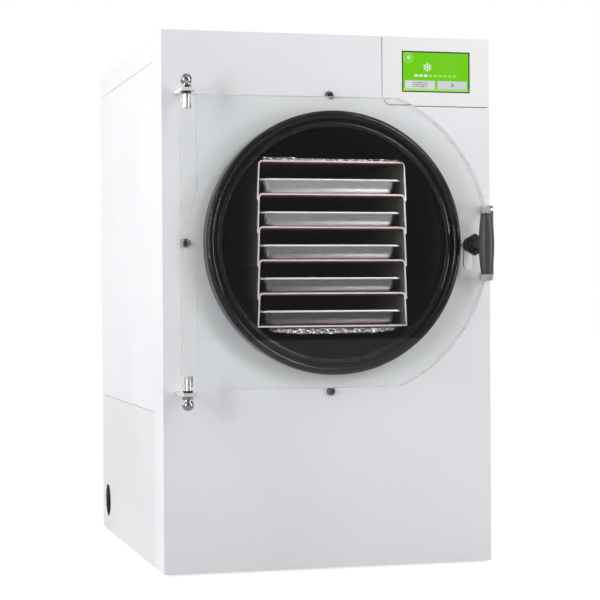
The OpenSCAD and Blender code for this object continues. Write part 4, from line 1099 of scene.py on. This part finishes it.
@dataclass
class Latch(Assembly):
    """Grip, spindle, tongue and the keeper that they hook behind."""

    parts = (
        (Coats.HUB, 1.5, "latch_base"),
        (Coats.BLACK, 0.2, "latch_washer"),
        (Coats.TURNED, 0.3, "latch_spindle"),
        (Coats.GRIP, 0.0, "latch_grip"),
        (Coats.PLATED, 0.3, "latch_tongue"),
        (Coats.TURNED, 0.3, "latch_nut"),
        (Coats.KEEPER, 0.5, "keeper_bracket"),
        (Coats.BOLT, 0.2, "keeper_screws"),
    )


@dataclass
class Controls(Assembly):
    """Control cover, display, boards, power entry and switch."""

    parts = (
        (Coats.CONTROL, 0.6, "control_cover"),
        (Coats.BLACK, 0.2, "display_seal"),
        (Coats.GLASS, 0.2, "touch_display"),
        (Coats.BOARD, 0.1, "control_board"),
        (Coats.BOARD, 0.2, "power_board"),
        (Coats.BLACK, 0.3, "power_entry"),
        (Coats.BLACK, 0.4, "switch_rocker"),
    )


@dataclass
class Picture(Assembly):
    """A plain start screen: a badge, a snowflake, a bar of steps and two buttons.

    Places on it are shares of its width and height, from its lower left.

    Attributes:
        areas: plain lit areas, each with what area() takes.
        sliders: height of each slider on the left button, and place of its knob.
        branches: start, length and lean of the parts of a snowflake's arm.
        border: how far the picture lies inside the seal's outline.
        leaf: thickness of each layer of the picture.
    """

    areas = (
        ("field", (0.0, 0.0, 1.0, 1.0), 0, Coats.FIELD, 0.4),
        ("foot", (0.0, 0.0, 1.0, 0.055), 1, Coats.PALE, 0.2),
        ("left_button", (0.03, 0.06, 0.485, 0.27), 2, Coats.BUTTON, 0.6),
        ("right_button", (0.522, 0.06, 0.975, 0.27), 2, Coats.BUTTON, 0.6),
    )
    sliders = ((0.115, 0.30), (0.165, 0.2), (0.215, 0.26))
    branches = ((0.0, 1.0, 0.0), (0.5, 0.4, 0.9), (0.5, 0.4, -0.9))
    border: float = 4.7 * MM
    leaf: float = 0.1 * MM

    def build(self) -> None:
        """Lays the picture on the display, layer on layer."""
        for area in self.areas:
            self.area(*area)
        for row, knob in self.sliders:
            mark = f"{row * 1000:.0f}"
            bar = (0.14, row - 0.008, 0.37, row + 0.008)
            self.area(f"slider_{mark}", bar, 3, Coats.SIGN, 0.2)
            button = (knob - 0.012, row - 0.02, knob + 0.012, row + 0.02)
            self.area(f"knob_{mark}", button, 4, Coats.SIGN, 0.4)
        self.arrow(self.spot(0.752, 0.165, 3), 3.6 * MM)
        badge = (0.085, 0.86)
        self.ring(self.spot(*badge, 1), 7.0 * MM, 1.1 * MM)
        self.snowflake("badge_flake", self.spot(*badge, 2), 3.6 * MM)
        self.snowflake("flake", self.spot(0.37, 0.62, 1), 6.5 * MM)
        count, bright = 9, 3
        for step in range(count):
            left = 0.17 + step * 0.074
            coat = Coats.BRIGHT if step < bright else Coats.PALE
            self.area(f"step_{step + 1}", (left, 0.37, left + 0.052, 0.43), 1, coat, 0.8)

    def spot(self, across: float, up: float, layer: int) -> Vector:
        """A point of the picture with that many layers behind it."""
        low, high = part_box("display_seal")
        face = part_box("touch_display")[0].y
        return Vector((
            low.x + self.border + across * (high.x - low.x - 2 * self.border),
            face - self.leaf * (layer + 0.5),
            low.z + self.border + up * (high.z - low.z - 2 * self.border),
        ))

    def lay(self, name: str, bm: Shape, coat: Coats) -> None:
        """Adds a finished shape to the display."""
        self.add(f"screen_{name}", bm, coat, "cabinet", "display_glass", even=False)

    def area(
        self, name: str, box: tuple[float, ...], layer: int, coat: Coats, radius: float
    ) -> None:
        """Adds a plain lit area.

        Args:
            name: its name.
            box: left, bottom, right and top.
            layer: how many layers lie behind it.
            coat: its light.
            radius: radius of its corners in millimetres.
        """
        low, high = self.spot(box[0], box[1], layer), self.spot(box[2], box[3], layer)
        size = high - low
        size.y = self.leaf
        self.lay(name, rounded_plate(size, (low + high) / 2, radius * MM), coat)

    def arrow(self, centre: Vector, radius: float) -> None:
        """Adds the start arrow."""
        bm = bmesh.new()
        bmesh.ops.create_circle(bm, cap_ends=True, segments=3, radius=radius)
        turn(bm, -math.pi / 2, "Z")
        made = bmesh.ops.extrude_face_region(bm, geom=list(bm.faces))
        shift(bm, (0, 0, self.leaf), corners_of(made))
        bmesh.ops.recalc_face_normals(bm, faces=bm.faces)
        turn(bm, math.pi / 2, "X")
        shift(bm, centre)
        self.lay("arrow", bm, Coats.SIGN)

    def ring(self, centre: Vector, radius: float, width: float) -> None:
        """Adds the badge's flat ring."""
        inner, half = radius - width, self.leaf / 2
        bm = lathe([(inner, -half), (radius, -half), (radius, half), (inner, half)], 48)
        shift(bm, centre)
        self.lay("badge", bm, Coats.PALE)

    def snowflake(self, name: str, centre: Vector, reach: float) -> None:
        """Adds a plain six-armed snowflake."""
        bm = bmesh.new()
        for arm in range(6):
            for start, share, lean in self.branches:
                made = block(bm, (share * reach, 0.13 * reach, self.leaf))
                shift(bm, (share * reach / 2, 0, 0), made)
                turn(bm, lean, "Z", made)
                shift(bm, (start * reach, 0, 0), made)
                turn(bm, arm * math.tau / 6 + math.pi / 6, "Z", made)
        turn(bm, math.pi / 2, "X")
        shift(bm, centre)
        self.lay(name, bm, Coats.BRIGHT)


@dataclass
class Machinery(Assembly):
    """Compressor, condenser, fan, lines, vacuum pipe and drain."""

    parts = (
        (Coats.ENAMEL, 0.6, "compressor"),
        (Coats.FOOT, 0.4, "compressor_mounts"),
        (Coats.FINS, 0.0, "condenser"),
        (Coats.ZINC, 0.4, "fan_shroud"),
        (Coats.ENAMEL, 0.5, "fan_motor"),
        (Coats.BLACK, 0.3, "fan_blade"),
        (Coats.COPPER, 0.0, "filter_drier", "refrigerant_lines"),
        (Coats.TURNED, 0.0, "vacuum_pipe"),
        (Coats.BRASS, 0.3, "vacuum_port"),
        (Coats.NATURAL, 0.0, "drain_tube"),
        (Coats.BRASS, 0.3, "drain_fitting"),
    )


# ---- studio ----


@dataclass
class Lamp:
    """A soft box.

    Attributes:
        name: its name.
        place: where it stands.
        aim: the point it faces.
        size: width and height.
        power: watts.
    """

    name: str
    place: Point
    aim: Point
    size: tuple[float, float]
    power: float

    def hang(self) -> None:
        """Puts the lamp in the scene."""
        data = bpy.data.lights.new(self.name, "AREA")
        data.shape = "RECTANGLE"
        data.size, data.size_y = self.size
        data.energy = self.power
        lamp = place_object(self.name, data)
        lamp.location = self.place
        beam = Vector(self.aim) - Vector(self.place)
        lamp.rotation_euler = beam.to_track_quat("-Z", "Y").to_euler()


@dataclass
class Studio:
    """Pale floor, white surroundings, soft boxes and the camera.

    Attributes:
        dark: light that comes from everywhere.
        left: light that comes from the left as well.
        behind: light that comes from behind the object as well.
        lamps: the soft boxes.
        ground: colour of the floor.
        lens: focal length in millimetres on a 36 mm sensor.
        eye: where the camera stands, its second number counted from the front panel's face.
        turn: the camera's heading to the right of +Y, its tilt and its roll, in degrees.
    """

    dark: float = 0.12
    left: float = 1.7
    behind: float = 0.83
    lamps: list[Lamp] = field(
        default_factory=lambda: [
            Lamp("front_right", (1.25, -2.0, 1.55), (0.05, -0.2, 0.5), (0.9, 1.1), 15.0),
            Lamp("low_right", (1.9, -1.5, 0.45), (0.1, -0.2, 0.3), (0.35, 1.1), 12.5),
            Lamp("key_left", (-2.2, -1.5, 0.6), (0, -0.1, 0.4), (0.26, 1.3), 14.0),
            Lamp("top_front", (0.1, -1.3, 2.3), (0, -0.2, 0.4), (1.6, 0.7), 5.0),
        ]
    )
    ground: Colour = (0.5, 0.5, 0.505)
    lens: float = 108.2
    eye: Point = (-0.664, -2.3475, 0.3741)
    turn: Point = (-14.83, -0.21, 0.34)

    def build(self) -> None:
        """Sets up everything round the object."""
        self.floor()
        self.surroundings()
        for lamp in self.lamps:
            lamp.hang()
        self.camera()
        bpy.context.scene.view_settings.view_transform = "Standard"

    def seen(self, graph: Graph) -> Sock:
        """1 for rays that reach the eye straight, or through glass without a bounce."""
        straight, through, matt, mirror = (
            graph.node("ShaderNodeLightPath", out=name)
            for name in ("Is Camera Ray", "Is Transmission Ray", "Diffuse Depth", "Glossy Depth")
        )
        return straight.most(through * (1 - (matt + mirror).ramp(0.2, 0.8)))

    def floor(self) -> None:
        """Lays a plain pale floor that keeps the object's shadow."""
        half_side, glow_to_eye = 12.0, 0.78
        bm = bmesh.new()
        bmesh.ops.create_grid(bm, x_segments=1, y_segments=1, size=half_side)
        floor = place_object("floor", to_mesh("floor", bm))
        material = bpy.data.materials.new("pale_floor")
        material.use_nodes = True
        graph = Graph(material.node_tree)
        matt = graph.node("ShaderNodeBsdfDiffuse", inputs={"Color": self.ground})
        light = self.seen(graph) * glow_to_eye
        glow = graph.node("ShaderNodeEmission", inputs={"Strength": light})
        graph.show(graph.node("ShaderNodeAddShader", inputs={0: matt, 1: glow}))
        floor.data.materials.append(material)

    def surroundings(self) -> None:
        """White to the eye; to the object, pale on the left and behind, and dark in front."""
        world = bpy.data.worlds.new("surroundings")
        world.use_nodes = True
        bpy.context.scene.world = world
        graph = Graph(world.node_tree)
        x, y = (
            graph.node("ShaderNodeSeparateXYZ", inputs={0: graph.node("ShaderNodeTexCoord")}, out=n)
            for n in "XY"
        )
        mirror = graph.node("ShaderNodeLightPath", out="Is Glossy Ray")
        side = (0 - x).ramp(0.3, 0.9) * (1 - mirror * 0.6) * self.left
        light = side + y.ramp(0.0, 0.5) * self.behind + self.dark
        dim = graph.node("ShaderNodeBackground", inputs={"Color": (1, 1, 1), "Strength": light})
        white = graph.node("ShaderNodeBackground", inputs={"Color": (1, 1, 1), "Strength": 1.0})
        mixed = graph.node("ShaderNodeMixShader", inputs={0: self.seen(graph), 1: dim, 2: white})
        graph.show(mixed, "ShaderNodeOutputWorld")

    def camera(self) -> None:
        """Stands the camera to the left of the front, just below the chamber's axis."""
        data = bpy.data.cameras.new("camera")
        data.lens = self.lens
        camera = place_object("camera", data)
        heading, tilt, roll = (math.radians(a) for a in self.turn)
        face = Vector((0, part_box("front_panel")[0].y, 0))
        camera.matrix_world = (
            Matrix.Translation(Vector(self.eye) + face)
            @ Matrix.Rotation(heading, 4, "Z")
            @ Matrix.Rotation(tilt, 4, "X")
            @ Matrix.Rotation(roll, 4, "Y")
            @ Matrix.Rotation(math.pi / 2, 4, "X")
        )
        bpy.context.scene.camera = camera


def main() -> None:
    """Builds the sub-assemblies in order, then the studio."""
    logging.basicConfig(level=logging.INFO, format="%(name)s: %(message)s")
    for assembly in (Cabinet, Chamber, Rack, Door, Latch, Controls, Picture, Machinery):
        log.info("building %s", assembly.__name__)
        assembly().build()
    Studio().build()


if __name__ == "__main__":
    main()
